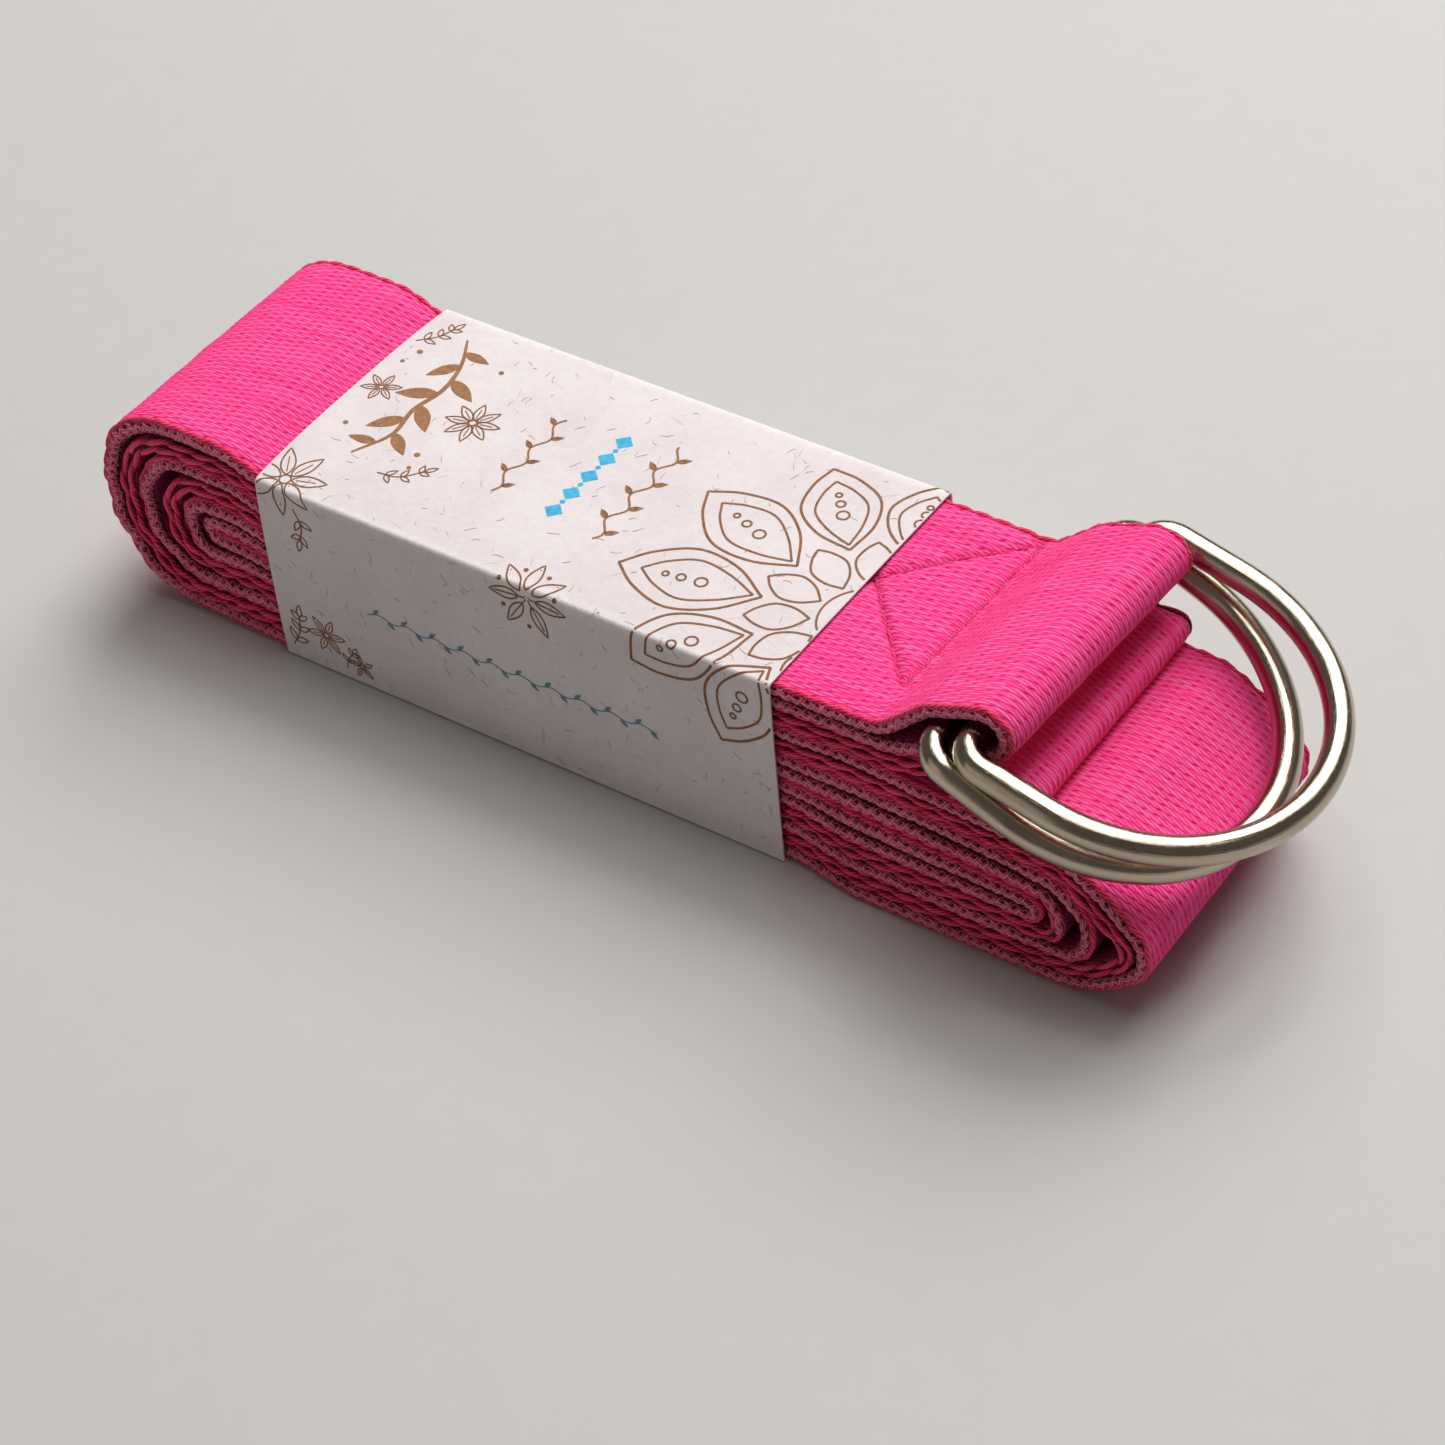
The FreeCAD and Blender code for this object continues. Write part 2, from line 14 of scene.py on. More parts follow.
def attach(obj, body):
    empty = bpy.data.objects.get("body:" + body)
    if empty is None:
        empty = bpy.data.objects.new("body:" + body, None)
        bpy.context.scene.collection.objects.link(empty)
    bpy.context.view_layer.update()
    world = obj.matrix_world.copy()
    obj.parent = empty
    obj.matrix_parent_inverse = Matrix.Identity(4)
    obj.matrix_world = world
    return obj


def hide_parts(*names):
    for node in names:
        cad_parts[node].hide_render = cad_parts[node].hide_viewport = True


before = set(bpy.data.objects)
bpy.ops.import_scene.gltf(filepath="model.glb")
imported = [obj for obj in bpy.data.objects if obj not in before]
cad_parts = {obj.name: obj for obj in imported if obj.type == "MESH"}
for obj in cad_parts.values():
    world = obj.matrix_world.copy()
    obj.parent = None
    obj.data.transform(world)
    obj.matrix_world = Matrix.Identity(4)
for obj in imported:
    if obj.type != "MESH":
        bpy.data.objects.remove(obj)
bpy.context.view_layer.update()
rng = np.random.default_rng(11)
SHIFT = 16.149
PI = math.pi


# ==========================================================================
# Small tools
# ==========================================================================
def smooth(x, a, b):
    t = np.clip((np.asarray(x, float) - a) / (b - a), 0.0, 1.0)
    return t * t * (3 - 2 * t)


def waves(x, seed, length, count=5):
    """Gentle seeded irregularity of about unit size along x."""
    r = np.random.default_rng(seed)
    out = np.zeros_like(np.asarray(x, float))
    for k in range(count):
        out = out + np.sin(2 * PI * np.asarray(x, float) / (length * r.uniform(0.6, 1.9)) + r.uniform(0, 2 * PI)) * r.uniform(0.5, 1.0)
    return out / math.sqrt(count)


class Mesh(object):
    """Points in roll millimetres, faces and point attributes, gathered up."""

    def __init__(self):
        self.points, self.faces, self.marks, self.count = [], [], {}, 0

    def add(self, points, faces, **marks):
        points = np.asarray(points, float).reshape(-1, 3)
        base = self.count
        self.points.append(points)
        self.faces += [tuple(int(i) + base for i in f) for f in faces]
        for name, value in marks.items():
            self.marks.setdefault(name, []).append((base, np.broadcast_to(np.asarray(value, float), (len(points),))))
        self.count += len(points)
        return base

    def make(self, name, material, flat=False, sharp=None):
        co = np.concatenate(self.points) * 0.001
        co[:, 0] -= SHIFT * 0.001
        co[:, 2] = np.maximum(co[:, 2], 0.00001)
        mesh = bpy.data.meshes.new(name)
        mesh.from_pydata(co.tolist(), [], self.faces)
        mesh.update()
        for mark, parts in self.marks.items():
            values = np.zeros(self.count, np.float32)
            for base, v in parts:
                values[base:base + len(v)] = v
            layer = mesh.attributes.new(mark, "FLOAT", "POINT")
            layer.data.foreach_set("value", values)
        mesh.polygons.foreach_set("use_smooth", np.full(len(mesh.polygons), not flat))
        if sharp is not None:
            mesh.set_sharp_from_angle(angle=math.radians(sharp))
        for m in (material if isinstance(material, (list, tuple)) else [material]):
            mesh.materials.append(m)
        obj = bpy.data.objects.new(name, mesh)
        bpy.context.scene.collection.objects.link(obj)
        return obj


def tube(mesh, line, radius, sides=6, phase=0.0, **marks):
    """A closed round yarn along line, N x 3, with radius a number or N numbers."""
    line = np.asarray(line, float)
    n = len(line)
    radius = np.broadcast_to(np.asarray(radius, float), (n,))
    tangent = np.gradient(line, axis=0)
    tangent /= np.linalg.norm(tangent, axis=1)[:, None] + 1e-12
    # carry one normal along the line without twist
    normal = np.zeros_like(line)
    seed = np.array([0.0, 1.0, 0.0]) if abs(tangent[0][1]) < 0.9 else np.array([0.0, 0.0, 1.0])
    v = seed - tangent[0] * (seed @ tangent[0])
    for i in range(n):
        v = v - tangent[i] * (v @ tangent[i])
        v /= np.linalg.norm(v) + 1e-12
        normal[i] = v
    other = np.cross(tangent, normal)
    ang = np.arange(sides) / sides * 2 * PI + phase
    ring = normal[:, None, :] * np.cos(ang)[None, :, None] + other[:, None, :] * np.sin(ang)[None, :, None]
    pts = line[:, None, :] + ring * radius[:, None, None]
    length = np.concatenate([[0], np.cumsum(np.linalg.norm(np.diff(line, axis=0), axis=1))])
    faces = []
    for i in range(n - 1):
        a, b = i * sides, (i + 1) * sides
        for k in range(sides):
            l = (k + 1) % sides
            faces.append((a + k, a + l, b + l, b + k))
    faces.append(tuple(range(sides - 1, -1, -1)))
    faces.append(tuple((n - 1) * sides + k for k in range(sides)))
    extra = {"yarn_u": np.repeat(length, sides), "yarn_v": np.tile(np.sin(ang), n), "yarn_w": np.tile(np.cos(ang), n)}
    extra.update({k: np.repeat(np.broadcast_to(np.asarray(v, float), (n,)), sides) for k, v in marks.items()})
    mesh.add(pts.reshape(-1, 3), faces, **extra)


# ==========================================================================
# The strap's line, seen from the side
# ==========================================================================
def run_points(points, step):
    """Straight runs joined by tangent arcs, sampled; a point is (x, z, r)."""
    out, prev = [], np.array(points[0][:2], float)

    def line_to(a, b):
        n = max(1, int(math.hypot(*(b - a)) / step))
        for i in range(n):
            out.append(a + (b - a) * i / n)

    for i in range(1, len(points) - 1):
        a, b, c = (np.array(points[k][:2], float) for k in (i - 1, i, i + 1))
        r = points[i][2]
        u1, u2 = (b - a) / np.linalg.norm(b - a), (c - b) / np.linalg.norm(c - b)
        turn = math.atan2(u1[0] * u2[1] - u1[1] * u2[0], u1 @ u2)
        if abs(turn) < 1e-4:
            continue
        reach = r * math.tan(abs(turn) / 2)
        p, q = b - u1 * reach, b + u2 * reach
        line_to(prev, p)
        side = 1.0 if turn > 0 else -1.0
        centre = p + np.array([-u1[1], u1[0]]) * r * side
        a0 = math.atan2(p[1] - centre[1], p[0] - centre[0])
        n = max(3, int(abs(turn) * r / step))
        for k in range(n):
            t = a0 + turn * k / n
            out.append(centre + r * np.array([math.cos(t), math.sin(t)]))
        prev = q
    last = np.array(points[-1][:2], float)
    line_to(prev, last)
    out.append(last)
    return np.array(out)


def meet(p, d, q, e):
    det = d[0] * (-e[1]) + e[0] * d[1]
    t = ((q[0] - p[0]) * (-e[1]) + e[0] * (q[1] - p[1])) / det
    return (p[0] + d[0] * t, p[1] + d[1] * t)


HALF = 0.9                                   # half the CAD webbing
LOW, TOP = 0.3 + HALF, 27.35 - HALF
LOOSE, CLOSED = (TOP - LOW) / 11.0, (TOP - LOW) / 12.0
WIDE, TIGHT = (20.4 - HALF) / 9.0, (18.35 - HALF) / 9.0
X1, X2, X3, X4, X5 = 9.0, 21.0, 38.0, 47.0, 71.0


def layer_out(j):
    return [(X1, LOW + LOOSE * j, 40.0), (X2, LOW + CLOSED * j, 40.0), (X3, LOW + CLOSED * j, 18.0), (X4, HALF + WIDE * j, 18.0)]


def layer_back(j):
    return list(reversed(layer_out(j)))


def left_turn(x, j0, j1):
    za, zb = LOW + LOOSE * j0, LOW + LOOSE * j1
    r = abs(za - zb) / 2 - 0.002
    return [(x, za, r), (x, zb, r)]


def level(j, x):
    z4, z5 = HALF + WIDE * j, HALF + TIGHT * j
    return z4 + (z5 - z4) * (x - X4) / (X5 - X4)


rise = math.radians(40.0)
foot, up = (77.5, HALF), (math.cos(rise), math.sin(rise))
knee, brow, crown = (84.6, 7.0), (84.6, 10.9), (74.5, level(9, 74.5))
back = np.array([crown[0] - brow[0], crown[1] - brow[1]])
back = tuple(back / np.linalg.norm(back))
outer_right = [(foot[0], foot[1], 13.0), (knee[0], knee[1], 3.2), (brow[0], brow[1], 2.6), (crown[0], crown[1], 7.0)]
gap = TIGHT
foot_line = (foot[0] - up[1] * gap, foot[1] + up[0] * gap)
brow_line = (brow[0] + back[1] * -gap, brow[1] + back[0] * gap)
x_b = 84.6 - gap - 0.15
foot_b = meet(foot_line, up, (0.0, level(1, X5)), (1.0, 0.0))
knee_b = meet(foot_line, up, (x_b, 0.0), (0.0, 1.0))
brow_b = meet(brow_line, back, (x_b, 0.0), (0.0, 1.0))
crown_b = meet(brow_line, back, (X4, level(8, X4)), (X5 - X4, level(8, X5) - level(8, X4)))
outer_right_b = [(foot_b[0], foot_b[1], 11.0), (knee_b[0], knee_b[1], 1.6), (brow_b[0], brow_b[1], 1.5), (crown_b[0], crown_b[1], 7.0)]
line_2 = (brow[0] - back[1] * 2 * gap, brow[1] + back[0] * 2 * gap)
brow_2 = meet(line_2, back, (77.7, 0.0), (0.0, 1.0))
crown_2 = meet(line_2, back, (X4, level(7, X4)), (X5 - X4, level(7, X5) - level(7, X4)))
inner_right = [(77.7, level(2, X5), 4.0), (brow_2[0], brow_2[1], 3.6), (crown_2[0], crown_2[1], 6.0)]
inner_right_b = [(74.0, level(3, X5), 2.2), (74.0, level(6, 74.0), 3.2)]
fold_r = (level(5, 71.2) - level(4, 71.2)) / 2 - 0.0005

WIRE = 3.5
UPPER_BAR, LOWER_BAR = (63.2, 31.4), (58.8, 29.75)
ring_r = WIRE / 2 + 0.08 + HALF
slope = math.atan2(UPPER_BAR[1] - LOWER_BAR[1], UPPER_BAR[0] - LOWER_BAR[0])
s_dir = (math.cos(slope), math.sin(slope))
s_nrm = (-s_dir[1], s_dir[0])
VALLEY = (51.0, TOP)
reach = math.hypot(LOWER_BAR[0] - VALLEY[0], LOWER_BAR[1] - VALLEY[1])
climb = math.atan2(LOWER_BAR[1] - VALLEY[1], LOWER_BAR[0] - VALLEY[0]) + math.asin(ring_r / reach)
lower_line = (LOWER_BAR[0] - s_nrm[0] * ring_r, LOWER_BAR[1] - s_nrm[1] * ring_r)
upper_line = (LOWER_BAR[0] + s_nrm[0] * ring_r, LOWER_BAR[1] + s_nrm[1] * ring_r)
SLACK = 1.5                                   # the sewn loop hangs loose past the upper bar
end_x = (UPPER_BAR[0] + s_dir[0] * (ring_r + SLACK), UPPER_BAR[1] + s_dir[1] * (ring_r + SLACK))
corner_low = (end_x[0] - s_nrm[0] * ring_r, end_x[1] - s_nrm[1] * ring_r)
corner_high = (end_x[0] + s_nrm[0] * ring_r, end_x[1] + s_nrm[1] * ring_r)
shoulder = meet(VALLEY, (math.cos(climb), math.sin(climb)), upper_line, s_dir)
heel = meet((0.0, 24.45), (1.0, 0.0), lower_line, s_dir)

tail_line, hem_line = (X4, level(9, X4) + 4.1), (X4, level(9, X4) + 2.15)
tail_dir = np.array([X5 - X4, level(9, X5) - level(9, X4)])
tail_dir = tuple(tail_dir / np.linalg.norm(tail_dir))
tail_high = meet(tail_line, tail_dir, (66.9, 0.0), (tail_dir[1], -tail_dir[0]))
tail_low = meet(hem_line, tail_dir, (66.9, 0.0), (tail_dir[1], -tail_dir[0]))
hem_stop = meet(hem_line, tail_dir, (58.6, 0.0), (0.0, 1.0))
hem_r = abs((tail_high[0] - tail_low[0]) * tail_dir[1] - (tail_high[1] - tail_low[1]) * tail_dir[0]) / 2 - 0.0005
bend_up = meet(tail_line, tail_dir, (57.8, 0.0), (0.0, 1.0))

route = [(22.0, 24.45, 0.0), (heel[0], heel[1], 8.0)]
route += [(corner_low[0], corner_low[1], ring_r - 0.0005), (corner_high[0], corner_high[1], ring_r - 0.0005)]
route += [(shoulder[0], shoulder[1], ring_r), (VALLEY[0], VALLEY[1], 4.5)]
route += left_turn(-63.2, 11, 0) + layer_out(0) + outer_right + layer_back(9)
route += left_turn(-57.5, 9, 2) + layer_out(2) + inner_right + layer_back(7)
route += left_turn(-50.6, 7, 4) + layer_out(4)
route += [(71.2, level(4, 71.2), fold_r), (71.2, level(5, 71.2), fold_r)]
route += layer_back(5) + left_turn(-47.5, 5, 6) + layer_out(6) + list(reversed(inner_right_b)) + layer_back(3)
route += left_turn(-53.6, 3, 8) + layer_out(8) + list(reversed(outer_right_b)) + layer_back(1)
route += left_turn(-60.5, 1, 10)
route += [(X1, LOW + LOOSE * 10, 40.0), (X2, LOW + CLOSED * 10, 40.0), (X3, LOW + CLOSED * 10, 30.0)]
route += [(X4, 22.35, 30.0), (54.2, 22.35, 7.0), (bend_up[0], bend_up[1], 6.0)]
route += [(tail_high[0], tail_high[1], hem_r), (tail_low[0], tail_low[1], hem_r), (hem_stop[0], hem_stop[1], 0.0)]

line = run_points(route, 0.12)
# out of the sleeve on the left the roll swells, and its turns are a little uneven
swell = smooth(-line[:, 0], 35.5, 44.0)
mid_z = 14.6
line[:, 1] = 0.3 + (line[:, 1] - 0.3) * (1 + 0.094 * swell)
squarer = smooth(-line[:, 0], 44.0, 58.0) * smooth(line[:, 1], 17.0, 27.0)
line[:, 0] -= 0.9 * squarer
S = np.concatenate([[0], np.cumsum(np.linalg.norm(np.diff(line, axis=0), axis=1))])
keep = np.concatenate([[True], np.diff(S) > 1e-6])
line, S = line[keep], S[keep]
even = np.arange(0, S[-1], 0.1)
line = np.stack([np.interp(even, S, line[:, 0]), np.interp(even, S, line[:, 1])], 1)
for _ in range(3):                            # soften the joints of runs and arcs
    line[3:-3] = (line[:-6] + line[1:-5] + line[2:-4] + line[3:-3] + line[4:-2] + line[5:-1] + line[6:]) / 7
S = np.concatenate([[0], np.cumsum(np.linalg.norm(np.diff(line, axis=0), axis=1))])
LENGTH = S[-1]
tangent = np.gradient(line, axis=0)
tangent /= np.linalg.norm(tangent, axis=1)[:, None]
normal = np.stack([-tangent[:, 1], tangent[:, 0]], 1)

# the strap's middle, where the doubled strand begins its way back
fold_at = int(np.argmin(np.abs(line[:, 0] - 72.6) + 4 * np.abs(line[:, 1] - (level(4, 71.2) + level(5, 71.2)) / 2)))
S_MID = S[fold_at]

# how thick the webbing can be at each place, from its distance to the next layer
coarse = np.arange(0, len(line), 10)
pc, sc = line[coarse], S[coarse]
room = np.full(len(coarse), 9.0)
for i in range(len(coarse)):
    d = np.hypot(pc[:, 0] - pc[i, 0], pc[:, 1] - pc[i, 1])
    d[np.abs(sc - sc[i]) < 7.0] = 9.0
    j = int(np.argmin(d))
    # finer around the nearest
    k0, k1 = max(0, coarse[j] - 12), min(len(line), coarse[j] + 13)
    room[i] = np.hypot(line[k0:k1, 0] - pc[i, 0], line[k0:k1, 1] - pc[i, 1]).min()
for bar in (UPPER_BAR, LOWER_BAR):
    d = np.hypot(pc[:, 0] - bar[0], pc[:, 1] - bar[1])
    room = np.where(sc < 75, np.minimum(room, 2 * (d - WIRE / 2 - 0.02)), room)
thick = np.clip(room - 0.04, 1.3, 2.34)
low_pass = thick.copy()
for k in range(1, 5):
    low_pass[k:] = np.minimum(low_pass[k:], thick[:-k])
    low_pass[:-k] = np.minimum(low_pass[:-k], thick[k:])
for _ in range(4):
    low_pass[1:-1] = (low_pass[:-2] + 2 * low_pass[1:-1] + low_pass[2:]) / 4
H = np.interp(S, sc, low_pass) / 2


def settle(p):
    """Roll millimetres of the ideal roll to those of the real, slightly skewed one."""
    p = np.array(p, float)
    x, y, z = p[..., 0], p[..., 1], p[..., 2]
    lower = smooth(x, 37.2, 48.0) * (1 - smooth(z, 9.0, 16.0))
    right = smooth(x, 40.0, 62.0)
    p[..., 1] = y - 1.45 * lower - 0.35 * right * (1 - lower) * smooth(-z, -22.0, -19.0)
    p[..., 1] += 0.22 * np.sin(z * 0.9 + 1.0) * smooth(-x, 38.0, 50.0)
    p[..., 2] = z - 0.021 * y * right * (1 - 0.9 * smooth(x, 64.0, 75.0)) * np.clip(z / 14.0, 0, 1)
    loop = smooth(x, 42.0, 52.0) * smooth(z, 21.8, 25.5)
    p[..., 0] = x + loop * 0.036 * (y + 12.0)
    return p


def place(s, y, d):
    """A point of the strap: s along it, y across it, d off its middle to its left."""
    s, y, d = np.broadcast_arrays(np.asarray(s, float), np.asarray(y, float), np.asarray(d, float))
    cx, cz = np.interp(s, S, line[:, 0]), np.interp(s, S, line[:, 1])
    nx, nz = np.interp(s, S, normal[:, 0]), np.interp(s, S, normal[:, 1])
    return settle(np.stack([cx + nx * d, y, cz + nz * d], -1))


def half_at(s):
    return np.interp(s, S, H)


# A0 is the top run from the ring loop to the left turn: s as a function of x
top_run = (S > 30) & (S < 190) & (line[:, 1] > 24) & (line[:, 0] < 52.5) & (line[:, 0] > -45) & (tangent[:, 0] < 0)
top_x, top_s = line[top_run][::-1, 0], S[top_run][::-1]


def s_on_top(x):
    return np.interp(x, top_x, top_s)


# ==========================================================================
# Materials
# ==========================================================================
class Nodes(object):
    """A terse way to write a node tree."""

    def __init__(self, name):
        self.mat = bpy.data.materials.new(name)
        self.mat.use_nodes = True
        self.tree = self.mat.node_tree
        self.tree.nodes.clear()
        self.out = self.tree.nodes.new("ShaderNodeOutputMaterial")
        self.bsdf = self.tree.nodes.new("ShaderNodeBsdfPrincipled")
        self.tree.links.new(self.bsdf.outputs[0], self.out.inputs[0])

    def put(self, socket, value):
        if isinstance(value, bpy.types.NodeSocket):
            self.tree.links.new(value, socket)
        else:
            socket.default_value = value

    def math(self, op, a, b=None, c=None, clamp=False):
        n = self.tree.nodes.new("ShaderNodeMath")
        n.operation = op
        n.use_clamp = clamp
        for i, v in enumerate((a, b, c)):
            if v is not None:
                self.put(n.inputs[i], v)
        return n.outputs[0]

    def mark(self, name):
        n = self.tree.nodes.new("ShaderNodeAttribute")
        n.attribute_type = "GEOMETRY"
        n.attribute_name = name
        return n.outputs["Fac"]

    def coords(self):
        return self.tree.nodes.new("ShaderNodeTexCoord").outputs["Object"]

    def mapping(self, vector, scale=(1, 1, 1), rotation=(0, 0, 0), location=(0, 0, 0)):
        n = self.tree.nodes.new("ShaderNodeMapping")
        self.put(n.inputs["Vector"], vector)
        n.inputs["Scale"].default_value = scale
        n.inputs["Rotation"].default_value = rotation
        n.inputs["Location"].default_value = location
        return n.outputs[0]

    def noise(self, vector, scale, detail=2.0, rough=0.5, distortion=0.0):
        n = self.tree.nodes.new("ShaderNodeTexNoise")
        self.put(n.inputs["Vector"], vector)
        n.inputs["Scale"].default_value = scale
        n.inputs["Detail"].default_value = detail
        n.inputs["Roughness"].default_value = rough
        n.inputs["Distortion"].default_value = distortion
        return n.outputs["Fac"]

    def voronoi(self, vector, scale, feature="F1"):
        n = self.tree.nodes.new("ShaderNodeTexVoronoi")
        n.feature = feature
        self.put(n.inputs["Vector"], vector)
        n.inputs["Scale"].default_value = scale
        return n.outputs["Distance"]

    def vector(self, x, y, z=0.0):
        n = self.tree.nodes.new("ShaderNodeCombineXYZ")
        for i, v in enumerate((x, y, z)):
            self.put(n.inputs[i], v)
        return n.outputs[0]

    def ramp(self, value, stops, interpolation="LINEAR"):
        n = self.tree.nodes.new("ShaderNodeValToRGB")
        n.color_ramp.interpolation = interpolation
        while len(n.color_ramp.elements) < len(stops):
            n.color_ramp.elements.new(0.5)
        for e, (at, colour) in zip(n.color_ramp.elements, stops):
            e.position = at
            e.color = (*colour, 1.0)
        self.put(n.inputs[0], value)
        return n.outputs[0]

    def mix(self, fac, a, b, blend="MIX"):
        n = self.tree.nodes.new("ShaderNodeMix")
        n.data_type = "RGBA"
        n.blend_type = blend
        self.put(n.inputs[0], fac)
        for socket, v in ((n.inputs[6], a), (n.inputs[7], b)):
            if isinstance(v, tuple):
                v = (*v, 1.0) if len(v) == 3 else v
            self.put(socket, v)
        return n.outputs[2]

    def bump(self, height, distance, strength=1.0, normal=None):
        n = self.tree.nodes.new("ShaderNodeBump")
        n.inputs["Strength"].default_value = strength
        n.inputs["Distance"].default_value = distance
        self.put(n.inputs["Height"], height)
        if normal is not None:
            self.put(n.inputs["Normal"], normal)
        return n.outputs[0]

    def set(self, **values):
        for key, v in values.items():
            socket = self.bsdf.inputs[key.replace("_", " ")]
            if isinstance(v, tuple) and len(v) == 3 and socket.type == "RGBA":
                v = (*v, 1.0)
            self.put(socket, v)
        return self.mat


def hexcol(r, g, b):
    """sRGB 0..255 to linear."""
    f = lambda c: c / 12.92 if c <= 0.04045 else ((c + 0.055) / 1.055) ** 2.4
    return tuple(f(v / 255.0) for v in (r, g, b))


PICK, END = 4.0 / 3.0, 0.4518                 # weave pitch along and across, mm
W_EDGE = 17.72


def webbing_material():
    m = Nodes("webbing_cotton")
    s, y = m.mark("web_s"), m.mark("web_y")
    wander = m.noise(m.vector(m.math("MULTIPLY", s, 0.12), m.math("MULTIPLY", y, 0.25)), 1.0, 2.0)
    u = m.math("ADD", m.math("DIVIDE", s, PICK), m.math("MULTIPLY", wander, 0.5))
    drift = m.noise(m.vector(m.math("MULTIPLY", s, 0.22), m.math("MULTIPLY", y, 0.10), 4.0), 1.0, 2.0)
    v = m.math("ADD", m.math("DIVIDE", y, END), m.math("MULTIPLY", drift, 0.5))
    j = m.math("ROUND", v)
    fy = m.math("SUBTRACT", v, j)
    across = m.math("COSINE", m.math("MULTIPLY", fy, PI))
    along = m.math("COSINE", m.math("MULTIPLY", m.math("ADD", m.math("MULTIPLY_ADD", fy, 0.45, u), j), PI))
    over = m.math("MULTIPLY_ADD", along, 0.5, 0.5)
    # a float of warp is plump; where it dives, a small pit is left beside it. Below, the tone paints light and shade
    # on this relief: plump floats lighter, pits dark as painted shade
    grainy = m.math("MULTIPLY", m.math("POWER", m.math("MAXIMUM", across, 0.0), 0.55), m.math("POWER", over, 0.36))
    dive = m.math("POWER", m.math("SUBTRACT", 1.0, over), 11.0)
    pit = m.math("MULTIPLY", dive, m.math("POWER", m.math("MAXIMUM", across, 0.0), 0.9))
    ply = m.math("SINE", m.math("MULTIPLY", m.math("MULTIPLY_ADD", u, 1.7, m.math("MULTIPLY", fy, 1.5)), 2 * PI))
    fibre = m.noise(m.vector(m.math("MULTIPLY", s, 1.5), m.math("MULTIPLY", y, 9.0)), 1.0, 3.0, 0.6)
    grain = m.noise(m.vector(m.math("MULTIPLY", s, 0.75), m.math("MULTIPLY", y, 1.9)), 1.0, 2.0)
    strength = m.math("MULTIPLY_ADD", m.math("SUBTRACT", grain, 0.5), 6.5, 0.48, clamp=True)
    height = m.math("ADD", grainy, m.math("MULTIPLY_ADD", ply, 0.06, m.math("MULTIPLY", fibre, 0.20)))
    height = m.math("ADD", height, m.math("MULTIPLY_ADD", m.math("MULTIPLY", pit, strength), -0.6, m.math("MULTIPLY", grain, 0.22)))
    # painted light and shade: tone rises on the plump floats and falls in the pits
    tone = m.math("ADD", m.math("MULTIPLY_ADD", grainy, 0.27, 0.40), m.math("MULTIPLY", m.math("ADD", fibre, grain), 0.29))
    tone = m.math("SUBTRACT", tone, m.math("MULTIPLY", m.math("MULTIPLY", pit, strength), 0.44))
    streak = m.noise(m.vector(m.math("MULTIPLY", s, 0.045), m.math("MULTIPLY", j, 0.83), 7.3), 1.0, 1.0)
    tone = m.math("ADD", tone, m.math("MULTIPLY_ADD", streak, 0.34, -0.17))
    colour = m.ramp(tone, [(0.14, hexcol(168, 0, 42)), (0.40, hexcol(236, 13, 80)), (0.62, hexcol(255, 44, 122)), (0.82, hexcol(255, 74, 148)), (0.97, hexcol(255, 112, 176))])
    patch = m.noise(m.vector(m.math("MULTIPLY", s, 0.05), m.math("MULTIPLY", y, 0.11)), 1.0, 3.0, 0.6)
    colour = m.mix(m.math("MULTIPLY", patch, 0.24), colour, hexcol(255, 74, 148))
    # painted shade: the sewn grooves are painted a deeper red
    seam = m.mark("web_seam")
    colour = m.mix(m.math("MULTIPLY", seam, m.math("MULTIPLY_ADD", fibre, 0.4, 0.55)), colour, hexcol(160, 3, 52))
    # painted shade: faces pressed between the layers never see the light, so they are painted a dusky dark red
    colour = m.mix(m.math("MULTIPLY", m.mark("web_in"), 0.78), colour, hexcol(74, 0, 24))
    # painted shade: the web's edge under the selvedge yarns is painted dark, so the gaps between those yarns read as
    # shade
    edge = m.math("MULTIPLY", m.math("SUBTRACT", m.math("ABSOLUTE", y), W_EDGE), 4.0, clamp=True)
    colour = m.mix(m.math("MULTIPLY", edge, 0.92), colour, hexcol(92, 22, 40))
    rough = m.math("MULTIPLY_ADD", fibre, 0.2, 0.74)
    return m.set(Base_Color=colour, Roughness=rough, Normal=m.bump(height, 0.00015),
                 Sheen_Weight=0.06, Sheen_Roughness=0.4, Sheen_Tint=hexcol(255, 110, 170), Specular_IOR_Level=0.08)


